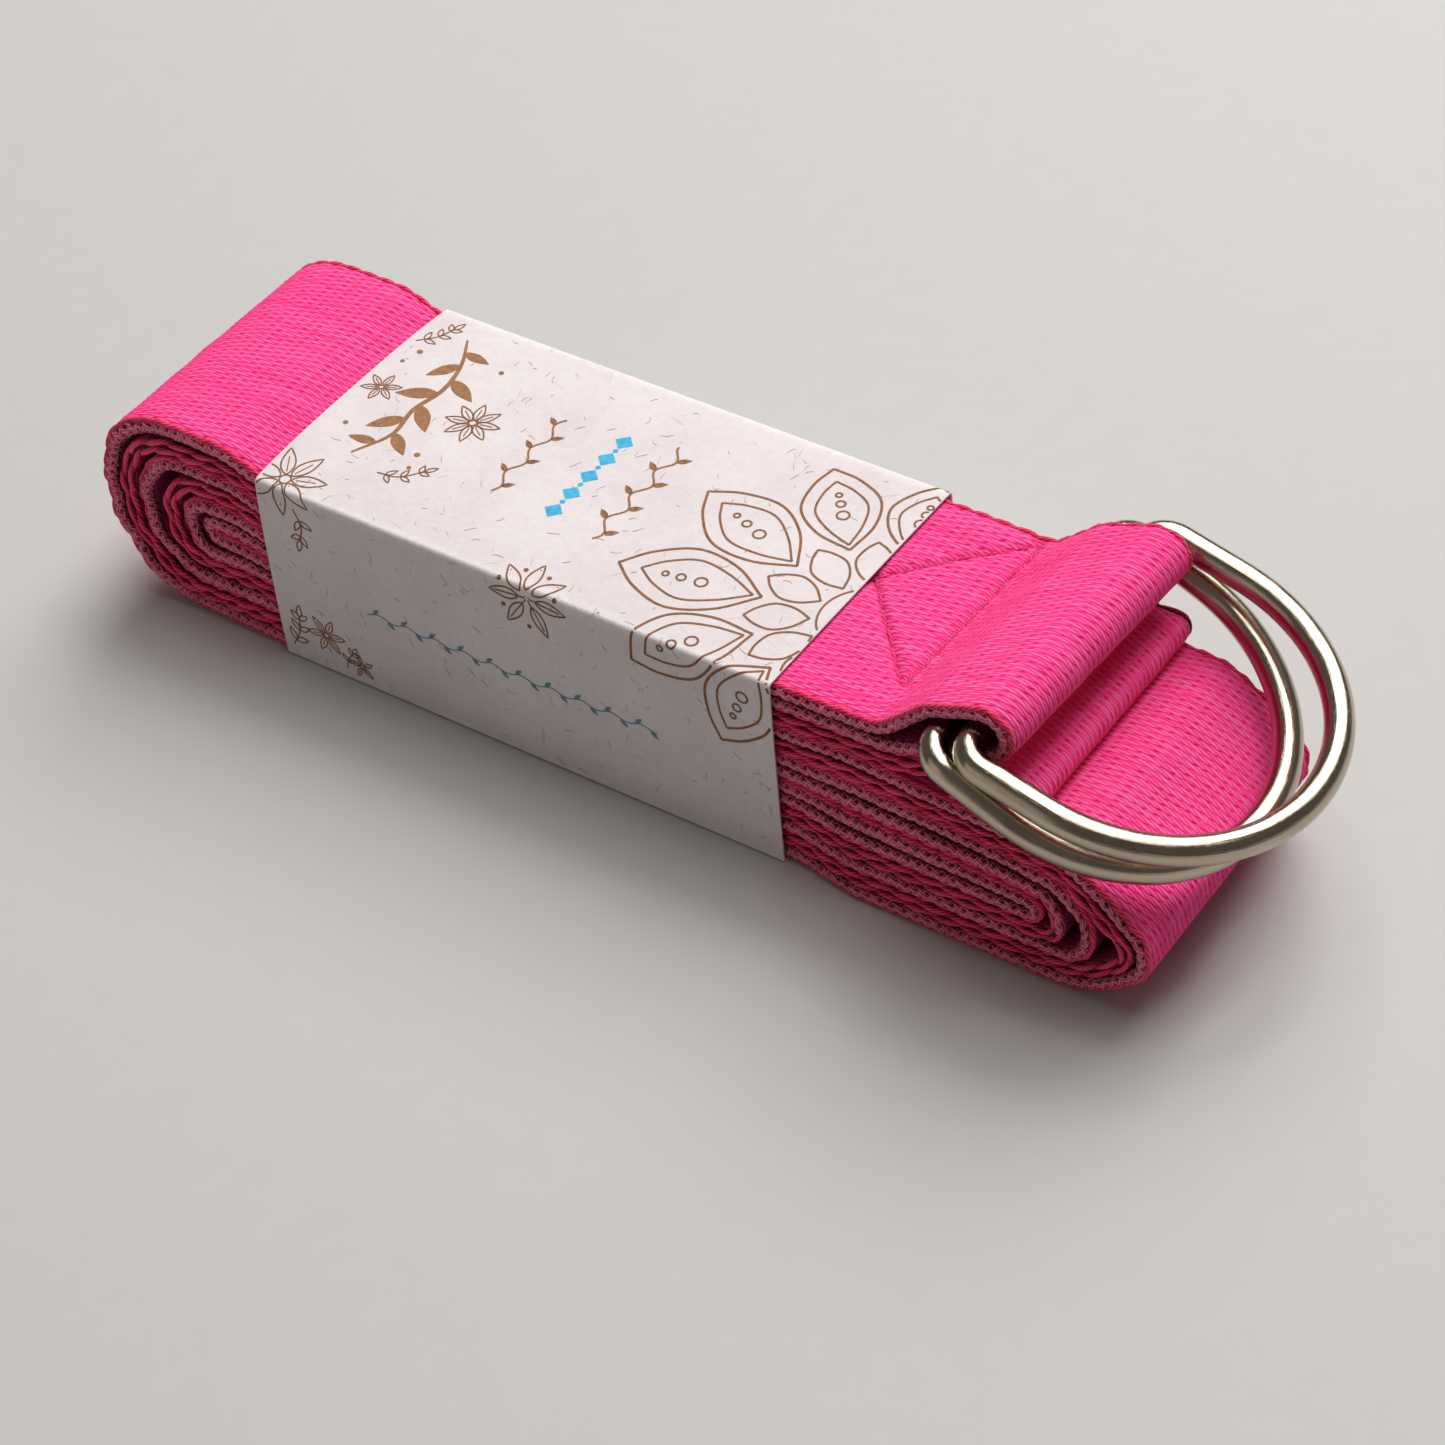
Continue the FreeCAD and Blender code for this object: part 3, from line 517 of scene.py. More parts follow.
def yarn_material(name, dark, mid, light, turns=5.0, sheen=0.2, recess_shade=True):
    m = Nodes(name)
    u, v, w = m.mark("yarn_u"), m.mark("yarn_v"), m.mark("yarn_w")
    angle = m.math("DIVIDE", m.math("ARCTAN2", v, w), 2 * PI)
    ply = m.math("SINE", m.math("MULTIPLY", m.math("MULTIPLY_ADD", angle, turns, m.math("MULTIPLY", u, 1.05)), 2 * PI))
    fine = m.noise(m.vector(m.math("MULTIPLY", u, 1.2), m.math("MULTIPLY", v, 5.0), m.math("MULTIPLY", w, 5.0)), 1.0, 3.0, 0.65)
    slow = m.noise(m.vector(m.math("MULTIPLY", u, 0.31), m.math("MULTIPLY", v, 0.4), m.math("MULTIPLY", w, 0.4)), 1.0, 2.0)
    height = m.math("MULTIPLY_ADD", ply, 0.32, m.math("MULTIPLY", fine, 0.9))
    tone = m.math("ADD", m.math("MULTIPLY_ADD", ply, 0.23, 0.14), m.math("MULTIPLY", m.math("ADD", fine, slow), 0.38))
    # painted shade: yarns that lie back in the edge (small yarn_out) are painted darker
    if recess_shade:
        out = m.mark("yarn_out")
        tone = m.math("MULTIPLY_ADD", m.math("SUBTRACT", out, 0.64), 0.95, tone)
    colour = m.ramp(tone, [(0.16, dark), (0.50, mid), (0.88, light)])
    return m.set(Base_Color=colour, Roughness=m.math("MULTIPLY_ADD", fine, 0.2, 0.72), Normal=m.bump(height, 0.00011),
                 Sheen_Weight=sheen, Sheen_Roughness=0.5, Specular_IOR_Level=0.15)


def nickel_material():
    m = Nodes("satin_nickel")
    at = m.coords()
    u, v, w = m.mark("yarn_u"), m.mark("yarn_v"), m.mark("yarn_w")
    cloud = m.noise(at, 160.0, 4.0, 0.6)
    stain = m.noise(at, 42.0, 3.0, 0.55)
    # drawn-wire lines run along the wire
    lines = m.noise(m.vector(m.math("MULTIPLY", u, 0.16), m.math("MULTIPLY", v, 13.0), m.math("MULTIPLY", w, 13.0)), 1.0, 4.0, 0.65)
    pits = m.voronoi(at, 900.0)
    pit = m.math("LESS_THAN", pits, 0.10)
    colour = m.ramp(m.math("MULTIPLY_ADD", stain, 0.6, m.math("MULTIPLY", lines, 0.4)),
                    [(0.25, hexcol(166, 151, 131)), (0.55, hexcol(191, 178, 157)), (0.85, hexcol(214, 203, 186))])
    colour = m.mix(m.math("MULTIPLY", pit, 0.35), colour, hexcol(150, 138, 120))
    rough = m.math("ADD", m.math("MULTIPLY_ADD", cloud, 0.09, 0.05), m.math("MULTIPLY", lines, 0.06))
    height = m.math("ADD", m.math("MULTIPLY", lines, 0.55), m.math("MULTIPLY", cloud, 0.5))
    return m.set(Base_Color=colour, Metallic=1.0, Roughness=rough, Normal=m.bump(height, 0.00004))


def paper_material():
    m = Nodes("sleeve_paper")
    at = m.coords()
    pulp = m.noise(at, 900.0, 4.0, 0.62)
    cloud = m.noise(at, 95.0, 3.0, 0.5)
    # short plant fibres in three directions, as thin stretched specks
    flecks = None
    for k, (angle, sx, sy, cut) in enumerate(((0.35, 260.0, 3000.0, 0.735), (1.35, 300.0, 2600.0, 0.745), (2.45, 240.0, 2800.0, 0.74))):
        n = m.noise(m.mapping(m.mapping(at, rotation=(0.2 * k, 0.35 * k, angle), location=(0.01 * k, 0.02, 0)), scale=(sx, sy, sx * 1.2)), 1.0, 1.0, 0.4, 0.35)
        f = m.math("MULTIPLY", m.math("SUBTRACT", n, cut), 16.0, clamp=True)
        flecks = f if flecks is None else m.math("MAXIMUM", flecks, f)
    base = m.ramp(m.math("MULTIPLY_ADD", pulp, 0.5, m.math("MULTIPLY", cloud, 0.5)),
                  [(0.25, hexcol(208, 199, 200)), (0.55, hexcol(219, 211, 212)), (0.85, hexcol(229, 222, 222))])
    colour = m.mix(m.math("MULTIPLY", flecks, 0.35), base, hexcol(160, 140, 132))
    # rubbed and lighter along the creases
    crease = m.mark("crease")
    colour = m.mix(m.math("MULTIPLY", crease, m.math("MULTIPLY_ADD", pulp, 0.5, 0.1)), colour, hexcol(250, 247, 244))
    height = m.math("ADD", m.math("MULTIPLY", pulp, 0.7), m.math("MULTIPLY_ADD", cloud, 0.8, m.math("MULTIPLY", flecks, 0.25)))
    return m.set(Base_Color=colour, Roughness=m.math("MULTIPLY_ADD", pulp, 0.18, 0.66), Normal=m.bump(height, 0.00006),
                 Specular_IOR_Level=0.3)


def ink_material(name, colour, dark):
    m = Nodes(name)
    n = m.noise(m.coords(), 1500.0, 3.0, 0.6)
    c = m.ramp(n, [(0.3, dark), (0.62, colour)])
    return m.set(Base_Color=c, Roughness=m.math("MULTIPLY_ADD", n, 0.2, 0.5), Normal=m.bump(n, 0.00002), Specular_IOR_Level=0.3)


WEB = webbing_material()
MAUVE = yarn_material("selvedge_mauve", hexcol(28, 2, 8), hexcol(178, 44, 76), hexcol(246, 132, 164))
PINK = yarn_material("selvedge_pink", hexcol(46, 0, 11), hexcol(242, 12, 74), hexcol(255, 80, 140))
# the sewing thread gets no painted recess shade
THREAD = yarn_material("sewing_thread", hexcol(184, 10, 76), hexcol(238, 48, 122), hexcol(255, 110, 172), turns=3.0, sheen=0.15, recess_shade=False)
NICKEL = nickel_material()
PAPER = paper_material()
INK_TAN = ink_material("ink_tan", hexcol(160, 112, 72), hexcol(132, 88, 54))
INK_BROWN = ink_material("ink_brown", hexcol(146, 98, 62), hexcol(112, 72, 46))
INK_BLUE = ink_material("ink_blue", hexcol(60, 182, 222), hexcol(40, 150, 196))
INK_SLATE = ink_material("ink_slate", hexcol(110, 140, 158), hexcol(88, 116, 136))
INK_FIBRE = ink_material("paper_fibre", hexcol(190, 172, 163), hexcol(158, 136, 126))

# ==========================================================================
# The webbing
# ==========================================================================
W_FACE = 17.62                                # the woven face, 79 ends across
ENDS = int(round(2 * W_FACE / END))
FINE_Y = (np.arange(ENDS + 1) - ENDS / 2.0) * END
COARSE_Y = np.linspace(FINE_Y[0], FINE_Y[-1], 9)
STEP = PICK / 3

count = int(LENGTH / STEP)
ks = np.arange(0, count + 1)
cx, cz = np.interp(ks * STEP, S, line[:, 0]), np.interp(ks * STEP, S, line[:, 1])
tx = np.interp(ks * STEP, S, tangent[:, 0])
s_all = ks * STEP
s_valley = float(s_on_top(50.0))
s_left_end = s_valley + 50 + 64 + 64          # past the outer left turn
turn_back = (s_all > s_left_end + 60) & (s_all < S_MID)
# outer right turn and the run above it: the second stretch with x > 60 on strand A
first_lap = (s_all > s_left_end) & (s_all < s_left_end + 260)
fine_right = (s_all > 14) & (s_all < s_left_end - 24)
fine_right |= first_lap & (cx > 60) & (cz < 25)
after = s_all > s_left_end + 100
fine_right |= first_lap & after & (cx > 35) & (cz > 12)
fine_left = (s_all > LENGTH - 62) & (cx > 40)
bend = np.abs(tx) < 0.97
use = (ks % 6 == 0) | fine_right | fine_left | (bend & (ks % 2 == 0)) | (ks == 0) | (ks == count)
ks, s_all = ks[use], s_all[use]
fine_right, fine_left = fine_right[use], fine_left[use]

# sewn lines pull the top layer down
SEAMS = [((49.4, -11.2), (49.7, 17.0)), ((24.4, 16.6), (24.4, -11.0)), ((25.2, -10.4), (49.2, 16.8)), ((25.2, 16.2), (48.9, -10.9))]


def seam_distance(x, y):
    best = np.full(np.shape(x), 99.0)
    for (x0, y0), (x1, y1) in SEAMS:
        dx, dy = x1 - x0, y1 - y0
        t = np.clip(((x - x0) * dx + (y - y0) * dy) / (dx * dx + dy * dy), 0, 1)
        best = np.minimum(best, np.hypot(x - x0 - t * dx, y - y0 - t * dy))
    return best


def relief(s, y, side):
    """How far the surface stands off its mean, in mm, by weave, seams and softness."""
    weave = 0.042 * np.cos(PI * (s / PICK + np.round(y / END + ENDS / 2.0)))
    soft = 0.09 * waves(s + 1.7 * y, 21, 17.0) * waves(y * 1.0 + 0.2 * s, 22, 15.0)
    shade = 1 - smooth(np.abs(y), W_FACE - 0.9, W_FACE)
    out = (weave + soft) * shade - 0.10 * (1 - shade)
    if side < 0:
        on_top = (s > top_s.min()) & (s < top_s.max())
        x = np.interp(s, S, line[:, 0])
        d = np.where(on_top, seam_distance(x, y), 99.0)
        out = out - 0.46 * np.exp(-(d / 0.42) ** 2) - 0.26 * np.exp(-(d / 1.8) ** 2)
        out = out + 0.10 * np.exp(-((d - 1.2) / 1.1) ** 2) * np.cos(2 * PI * (x + y) / 3.1)
    return out


# how much painted shade the sewn groove gets, for the colour
def seam_shade_mark(s, y, side):
    if side > 0:
        return np.zeros(len(y))
    if s < top_s.min() or s > top_s.max():
        return np.zeros(len(y))
    x = np.interp(s, S, line[:, 0])
    return np.exp(-(seam_distance(x, y) / 0.32) ** 2)


def build_webbing():
    points, marks_s, marks_y, marks_seam_shade, marks_shade, faces = [], [], [], [], [], []
    base = 0
    rows = []
    for i, s in enumerate(s_all):
        h = float(half_at(s))
        yr = FINE_Y if fine_right[i] else COARSE_Y
        yl = FINE_Y if fine_left[i] else COARSE_Y
        dr = -(h + (relief(s, yr, -1) if fine_right[i] else np.full(len(yr), -0.02)))
        dl = h + (relief(s, yl, 1) if fine_left[i] else np.full(len(yl), -0.02))
        # right face from near to far, far edge, left face from far to near, near edge
        bulge = 0.55
        ey = np.array([0.55, 1.0, 0.55]) * bulge
        ed = np.array([-0.62, 0.0, 0.62]) * h
        y = np.concatenate([yr, W_FACE + ey, yl[::-1], -(W_FACE + ey)])
        d = np.concatenate([dr, ed, dl[::-1], ed[::-1]])
        pts = place(np.full(len(y), s), y, d)
        points.append(pts)
        marks_s.append(np.full(len(y), s))
        # painted shade mask: coarse faces hidden between the layers get it in full, the edge points half
        shade_r = 0.0 if (fine_right[i] or s < s_left_end + 260) else 1.0
        shade_l = 0.0 if (fine_left[i] or s < 14) else 1.0
        marks_shade.append(np.concatenate([np.full(len(yr), shade_r), np.full(3, 0.5), np.full(len(yl), shade_l), np.full(3, 0.5)]))
        marks_seam_shade.append(np.concatenate([seam_shade_mark(s, yr, -1), np.zeros(3), seam_shade_mark(s, yl, 1), np.zeros(3)]))
        marks_y.append(y)
        nr, nl = len(yr), len(yl)
        idx = base + np.arange(len(y))
        rows.append((idx[:nr], yr, idx[nr:nr + 3], idx[nr + 3:nr + 3 + nl], yl[::-1], idx[nr + 3 + nl:]))
        base += len(y)

    def stitch(a, ya, b, yb, flip):
        """Faces between two rows of points that may differ in number."""
        if len(a) == len(b):
            for k in range(len(a) - 1):
                f = (a[k], a[k + 1], b[k + 1], b[k])
                faces.append(f[::-1] if flip else f)
            return
        i = j = 0
        while i < len(a) - 1 or j < len(b) - 1:
            if j == len(b) - 1 or (i < len(a) - 1 and abs(ya[i + 1] - ya[0]) * 1.0 <= abs(yb[j + 1] - yb[0])):
                f = (a[i], a[i + 1], b[j])
                i += 1
            else:
                f = (a[i], b[j + 1], b[j])
                j += 1
            faces.append(f[::-1] if flip else f)

    three = np.arange(5)
    for p, q in zip(rows[:-1], rows[1:]):
        stitch(p[0], p[1], q[0], q[1], False)
        stitch(np.concatenate([p[0][-1:], p[2], p[3][:1]]), three, np.concatenate([q[0][-1:], q[2], q[3][:1]]), three, False)
        stitch(p[3], p[4], q[3], q[4], False)
        stitch(np.concatenate([p[3][-1:], p[5], p[0][:1]]), three, np.concatenate([q[3][-1:], q[5], q[0][:1]]), three, False)
    for row, flip in ((rows[0], False), (rows[-1], True)):
        loop = np.concatenate([row[0], row[2], row[3], row[5]])
        right = np.concatenate([row[5][-1:], row[0], row[2][:1]])
        left = np.concatenate([row[5][1:2], row[5][:1], row[3][::-1], row[2][-1:], row[2][1:2]])
        f = tuple(loop[::-1]) if not flip else tuple(loop)
        faces.append(f)
    mesh = Mesh()
    mesh.add(np.concatenate(points), faces, web_s=np.concatenate(marks_s), web_y=np.concatenate(marks_y), web_seam=np.concatenate(marks_seam_shade), web_in=np.concatenate(marks_shade))
    return mesh.make("strap_webbing_cloth", WEB)


strap = build_webbing()
me = strap.data
bad = me.validate(verbose=False)
import bmesh
bm = bmesh.new()
bm.from_mesh(me)
bmesh.ops.recalc_face_normals(bm, faces=bm.faces)
open_edges = sum(1 for e in bm.edges if not e.is_manifold)
print("webbing: %d faces, %d open edges, volume %.1f mm3, length %.0f mm, mended %s" % (len(bm.faces), open_edges, bm.calc_volume() * 1e9, LENGTH, bad))
bm.to_mesh(me)
bm.free()
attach(strap, "roll")
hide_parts("strap_webbing")

# ==========================================================================
# Selvedges: a knitted catch-thread chain along strand A, rows of weft loops
# along strand B, on both sides of the strap
# ==========================================================================
LOOP = 3.9                                    # one knitted loop, mm


def yarn(mesh, side, s, y, d, r, sides, bright=None):
    """One selvedge yarn, marked with how far out of the edge each point stands; the yarn materials paint shade where
    it lies back.
    """
    centre = place(s, y, d)
    before = mesh.count
    tube(mesh, centre, r, sides=sides)
    pts = mesh.points[-1]
    flat_y = np.repeat(settle(np.stack([np.interp(s, S, line[:, 0]), np.full(len(s), 18.0 * side), np.interp(s, S, line[:, 1])], -1))[:, 1], sides)
    out = np.clip((side * (pts[:, 1] - flat_y) + 0.25) / 0.95, 0.0, 1.0)
    # bright sets a least mark, so this yarn gets less painted shade
    if bright is not None:
        out = np.maximum(out, bright)
    mesh.marks.setdefault("yarn_out", []).append((before, out))


def selvedge(side):
    chain, loops = Mesh(), Mesh()
    # strand A: a flat braid of three yarns, and a thin line of weft at the outer face
    step = 4.0 / 12
    s = np.arange(1.0, S_MID + 1.5, step)
    h = half_at(s)
    grow = 0.07 * waves(s, 5 if side < 0 else 6, 23.0)
    for k in range(3):
        a = 2 * PI * (s / 4.3 + k / 3.0) + 0.7 * waves(s, 31, 29.0)
        r = np.minimum(0.37 * h, 0.395)
        d = (h - r) * np.sin(a) * 0.88 + 0.12 * h + 0.05 * waves(s, 60 + k, 5.0)
        y = side * (18.20 + 0.23 * np.cos(2 * a) + grow + 0.05 * waves(s, 70 + k, 6.0))
        yarn(chain, side, s, y, d, r * (1 + 0.10 * waves(s, 80 + k, 7.0)), 6)
    d = -(h - 0.33) + 0.04 * np.sin(2 * PI * s / 2.67)
    yarn(loops, side, s, side * (18.06 + 0.09 * np.cos(2 * PI * s / 2.67 + 1.0) + 0.5 * grow), d, 0.35 + 0.03 * np.sin(2 * PI * s / 1.3333), 6, bright=0.78)
    # strand B: two rows of twisted loops
    step = LOOP / 9
    s = np.arange(S_MID - 1.5, LENGTH - 1.2, step)
    h = half_at(s)
    grow = 0.07 * waves(s, 8 if side < 0 else 9, 27.0)
    for row in (-0.52, 0.52):
        for k in range(2):
            a = 2 * PI * (s / (2 * LOOP) + 0.5 * k + 0.21 * (row > 0)) + 0.4 * waves(s, 41, 33.0)
            r = np.minimum(0.32 * h, 0.36) * (1 + 0.12 * np.cos(a + 0.4) + 0.06 * waves(s, 90 + k, 6.0))
            y = side * (18.08 + 0.30 * np.cos(a) + grow)
            d = row * h + 0.24 * h * np.sin(a) * 0.62 + 0.05 * waves(s, 95 + k, 5.0)
            yarn(loops, side, s, y, d, r, 5)
    d = 0.16 * h * np.sin(2 * PI * s / LOOP + 2.0)
    yarn(chain, side, s, side * (17.86 + 0 * s), d, 0.26 * np.ones(len(s)), 4)
    return chain, loops


def fuzz(mesh, side, a, b, count, seed):
    """Loose fibres standing off the edge."""
    r = np.random.default_rng(seed)
    for _ in range(count):
        s0 = r.uniform(a, b)
        h = float(half_at(s0))
        d0 = r.uniform(-0.9, 0.9) * h
        t = np.linspace(0, 1, 5)
        reach, run, drop = r.uniform(0.25, 0.75), r.uniform(-0.9, 0.9), r.uniform(-0.5, 0.5)
        curl = r.uniform(-0.5, 0.5)
        y = side * (18.25 + reach * t)
        s_ = s0 + run * t + curl * t * t
        d = np.clip(d0 + drop * t * t, -0.98 * h, 0.98 * h)
        # loose fibres are marked fully out, so they get no painted shade
        tube(mesh, place(s_, y, d), 0.028 * (1 - 0.5 * t), sides=3, yarn_out=1.0)


for side, word in ((-1, "near"), (1, "far")):
    chain, loops = selvedge(side)
    fuzz(chain, side, 5.0, S_MID, 900, 15 + side)
    fuzz(loops, side, S_MID, LENGTH - 5.0, 800, 25 + side)
    a = chain.make("edge_chain_" + word, MAUVE)
    b = loops.make("edge_loops_" + word, PINK)
    for o in (a, b):
        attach(o, "roll")

# ==========================================================================
# Sewing
# ==========================================================================
def sew(mesh, lines, pitch, to_point, seed):
    r = np.random.default_rng(seed)
    for (x0, y0), (x1, y1) in lines:
        length = math.hypot(x1 - x0, y1 - y0)
        n = max(1, int(round(length / pitch)))
        for i in range(n):
            a, b = (i + 0.04) / n, (i + 0.96) / n
            t = np.linspace(a, b, 9)
            w = np.sin(np.linspace(0, PI, 9))
            off = r.normal(0, 0.05)
            nx, ny = -(y1 - y0) / length, (x1 - x0) / length
            x = x0 + (x1 - x0) * t + nx * off
            y = y0 + (y1 - y0) * t + ny * off
            lift = -0.50 + 0.46 * w ** 0.6
            tube(mesh, to_point(x, y, lift), 0.165 + 0.03 * w, sides=8)


def on_top(x, y, lift):
    s = s_on_top(x)
    h = half_at(s)
    groove = 0.56
    return place(s, y, -(h - groove + lift))


box = Mesh()
sew(box, SEAMS, 3.2, on_top, 3)
box_stitches = box.make("box_seam_thread", THREAD)
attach(box_stitches, "roll")
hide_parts("box_x_stitching")

tail_s = (S > LENGTH - 45) & (line[:, 1] > 19.5) & (line[:, 0] > 45) & (line[:, 0] < 66) & (tangent[:, 0] > 0.3)
tail_x, tail_sv = line[tail_s][:, 0], S[tail_s]


def on_tail(x, y, lift):
    s = np.interp(x, tail_x, tail_sv)
    return place(s, y, half_at(s) - 0.12 + lift)


hem = Mesh()
sew(hem, [((61.0, -16.4), (61.0, 16.4))], 3.2, on_tail, 4)
hem_stitches = hem.make("hem_seam_thread", THREAD)
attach(hem_stitches, "roll")
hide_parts("tail_hem_stitching")

# ==========================================================================
# D-rings
# ==========================================================================
def d_ring(name, bar, droop, leg, body, node, seed):
    half = (40.0 + WIRE) / 2
    c = 3.0
    pts = []

    def arc(cx_, cy_, r, a0, a1, n):
        for k in range(n):
            a = a0 + (a1 - a0) * k / n
            pts.append((cx_ + r * math.cos(a), cy_ + r * math.sin(a)))

    def straight(p, q, n):
        for k in range(n):
            pts.append((p[0] + (q[0] - p[0]) * k / n, p[1] + (q[1] - p[1]) * k / n))

    straight((0, -half + c), (0, half - c), 40)
    arc(c, half - c, c, PI, PI / 2, 10)
    straight((c, half), (leg, half), 8)
    arc(leg, 0, half, PI / 2, -PI / 2, 96)
    straight((leg, -half), (c, -half), 8)
    arc(c, -half + c, c, -PI / 2, -PI, 10)
    p = np.array(pts)
    a = math.radians(droop)
    centre = np.stack([bar[0] + p[:, 0] * math.cos(a), p[:, 1], bar[1] - p[:, 0] * math.sin(a)], 1)
    n, sides = len(centre), 28
    tangent_ = np.roll(centre, -1, 0) - np.roll(centre, 1, 0)
    tangent_ /= np.linalg.norm(tangent_, axis=1)[:, None]
    plane = np.array([math.sin(a), 0.0, math.cos(a)])
    inward = np.cross(np.broadcast_to(plane, tangent_.shape), tangent_)
    ang = np.arange(sides) / sides * 2 * PI
    rad = WIRE / 2 * np.ones(n)
    pts3 = centre[:, None, :] + rad[:, None, None] * (inward[:, None, :] * np.cos(ang)[None, :, None] + plane[None, None, :] * np.sin(ang)[None, :, None])
    faces = []
    for i in range(n):
        j = (i + 1) % n
        for k in range(sides):
            l = (k + 1) % sides
            faces.append((i * sides + k, i * sides + l, j * sides + l, j * sides + k))
    length = np.concatenate([[0], np.cumsum(np.linalg.norm(np.diff(centre, axis=0), axis=1))])
    mesh = Mesh()
    mesh.add(pts3.reshape(-1, 3), faces, yarn_u=np.repeat(length, sides) + 37 * seed, yarn_v=np.tile(np.sin(ang), n), yarn_w=np.tile(np.cos(ang), n))
    obj = mesh.make(name, NICKEL)
    bm_ = bmesh.new()
    bm_.from_mesh(obj.data)
    bmesh.ops.recalc_face_normals(bm_, faces=bm_.faces)
    bm_.to_mesh(obj.data)
    bm_.free()
    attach(obj, body)
    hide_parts(node)
    return obj


upper_ring = d_ring("upper_ring_wire", UPPER_BAR, 15.6, 10.9, "upper_ring", "upper_d_ring", 1)
lower_ring = d_ring("lower_ring_wire", LOWER_BAR, 25.1, 10.9, "lower_ring", "lower_d_ring", 2)

# ==========================================================================
# Paper sleeve
# ==========================================================================
SW, SH, SL, PT = 19.3, 27.9, 37.0, 0.22       # half width, height, half length, paper


def sleeve_shape(p):
    """The folded strip eased over the roll: crowned where the roll swells, sides a little full."""
    p = np.array(p, float)
    x, y, z = p[..., 0], p[..., 1], p[..., 2]
    left = np.exp(-(x + SL) / 7.0)
    rightish = np.exp((x - SL) / 5.0)
    high = np.clip(z / SH, 0, 1) ** 6
    across = np.clip(1 - (np.abs(y) / SW) ** 3, 0, 1)
    p[..., 2] = z + high * across * (0.55 * left + 0.18 + 0.10 * np.sin(x * 0.13 + 0.5))
    side = np.clip(1 - np.abs(2 * z / SH - 1) ** 3, 0, 1)
    sign = np.sign(y) * (np.abs(y) > SW - 1.2)
    p[..., 1] = y + sign * side * (0.16 + 0.10 * np.sin(x * 0.11 + 1.3) + 0.18 * left + 0.05 * rightish)
    p[..., 2] = np.where(z < 2.0, np.maximum(p[..., 2], 0.0), p[..., 2])
    return p


def strip_line(inset):
    """The strip's run round the roll, seen along X, moved in by inset: from the outer lap's end
    on the far side over the top, down the near side, underneath and up inside the lap."""
    w, h = SW - inset, SH - inset
    r = max(0.12, 0.55 - inset)
    fw = SW - 0.32 - inset
    pts = []

    def seg(p, q, n, ends=True):
        for k in range(n):
            t = k / n
            pts.append((p[0] + (q[0] - p[0]) * t, p[1] + (q[1] - p[1]) * t))

    def bend(cy, cz_, a0, a1, n=6):
        for k in range(n):
            a = a0 + (a1 - a0) * k / n
            pts.append((cy + r * math.cos(a), cz_ + r * math.sin(a)))

    seg((w, 8.0), (w, h - r), 20)
    bend(w - r, h - r, 0, PI / 2)
    seg((w - r, h), (-w + r, h), 40)
    bend(-w + r, h - r, PI / 2, PI)
    seg((-w, h - r), (-w, inset + r), 28)
    bend(-w + r, inset + r, PI, 1.5 * PI)
    seg((-w + r, inset), (fw - r, inset), 40)
    bend(fw - r, inset + r, 1.5 * PI, 2 * PI)
    seg((fw, inset + r), (fw, 20.0), 20)
    pts.append((fw, 20.0))
    return np.array(pts)


def build_sleeve():
    outer, inner = strip_line(0.0), strip_line(PT)
    xs = np.linspace(-SL, SL, 75)
    m = len(outer)
    crease = np.zeros(m)
    for cy, cz_ in ((SW, SH), (-SW, SH), (-SW, 0), (SW, 0)):
        crease = np.maximum(crease, np.exp(-(np.hypot(outer[:, 0] - cy, outer[:, 1] - cz_) / 0.8) ** 2))
    mesh = Mesh()
    grid = []
    for loop in (outer, inner):
        p = np.zeros((len(xs), m, 3))
        p[..., 0] = xs[:, None]
        p[..., 1] = loop[None, :, 0]
        p[..., 2] = loop[None, :, 1]
        grid.append(sleeve_shape(p))
    pts = np.concatenate([g.reshape(-1, 3) for g in grid])
    faces = []
    n = len(xs)
    o = n * m
    for i in range(n - 1):
        for k in range(m - 1):
            a, b, c, d = i * m + k, i * m + k + 1, (i + 1) * m + k + 1, (i + 1) * m + k
            faces.append((a, b, c, d))
            faces.append((o + d, o + c, o + b, o + a))
    for k in range(m - 1):
        faces.append((k + 1, k, o + k, o + k + 1))
        e = (n - 1) * m
        faces.append((e + k, e + k + 1, o + e + k + 1, o + e + k))
    for i in range(n - 1):
        a, b = i * m, (i + 1) * m
        faces.append((a, b, o + b, o + a))
        a, b = a + m - 1, b + m - 1
        faces.append((b, a, o + a, o + b))
    mesh.add(pts, faces, crease=np.tile(crease, 2 * n))
    obj = mesh.make("sleeve_card", PAPER, sharp=50)
    bm_ = bmesh.new()
    bm_.from_mesh(obj.data)
    bmesh.ops.recalc_face_normals(bm_, faces=bm_.faces)
    print("sleeve: %d faces, %d open edges" % (len(bm_.faces), sum(1 for e in bm_.edges if not e.is_manifold)))
    bm_.to_mesh(obj.data)
    bm_.free()
    obj.data.set_sharp_from_angle(angle=math.radians(50))
    return obj


sleeve = build_sleeve()
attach(sleeve, "sleeve")
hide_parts("paper_sleeve", "sleeve_glue_line")

# --------------------------------------------------------------------------
# Print on the sleeve, in the strip's own coordinates: x along the roll, and
# t from the near upper crease, up over the top (t > 0) or down the side (t < 0)
# --------------------------------------------------------------------------
FLAT_LINE = strip_line(0.0)
run_len = np.concatenate([[0], np.cumsum(np.hypot(*np.diff(FLAT_LINE, axis=0).T))])
t_zero = run_len[np.argmin(np.hypot(FLAT_LINE[:, 0] + SW, FLAT_LINE[:, 1] - SH))]


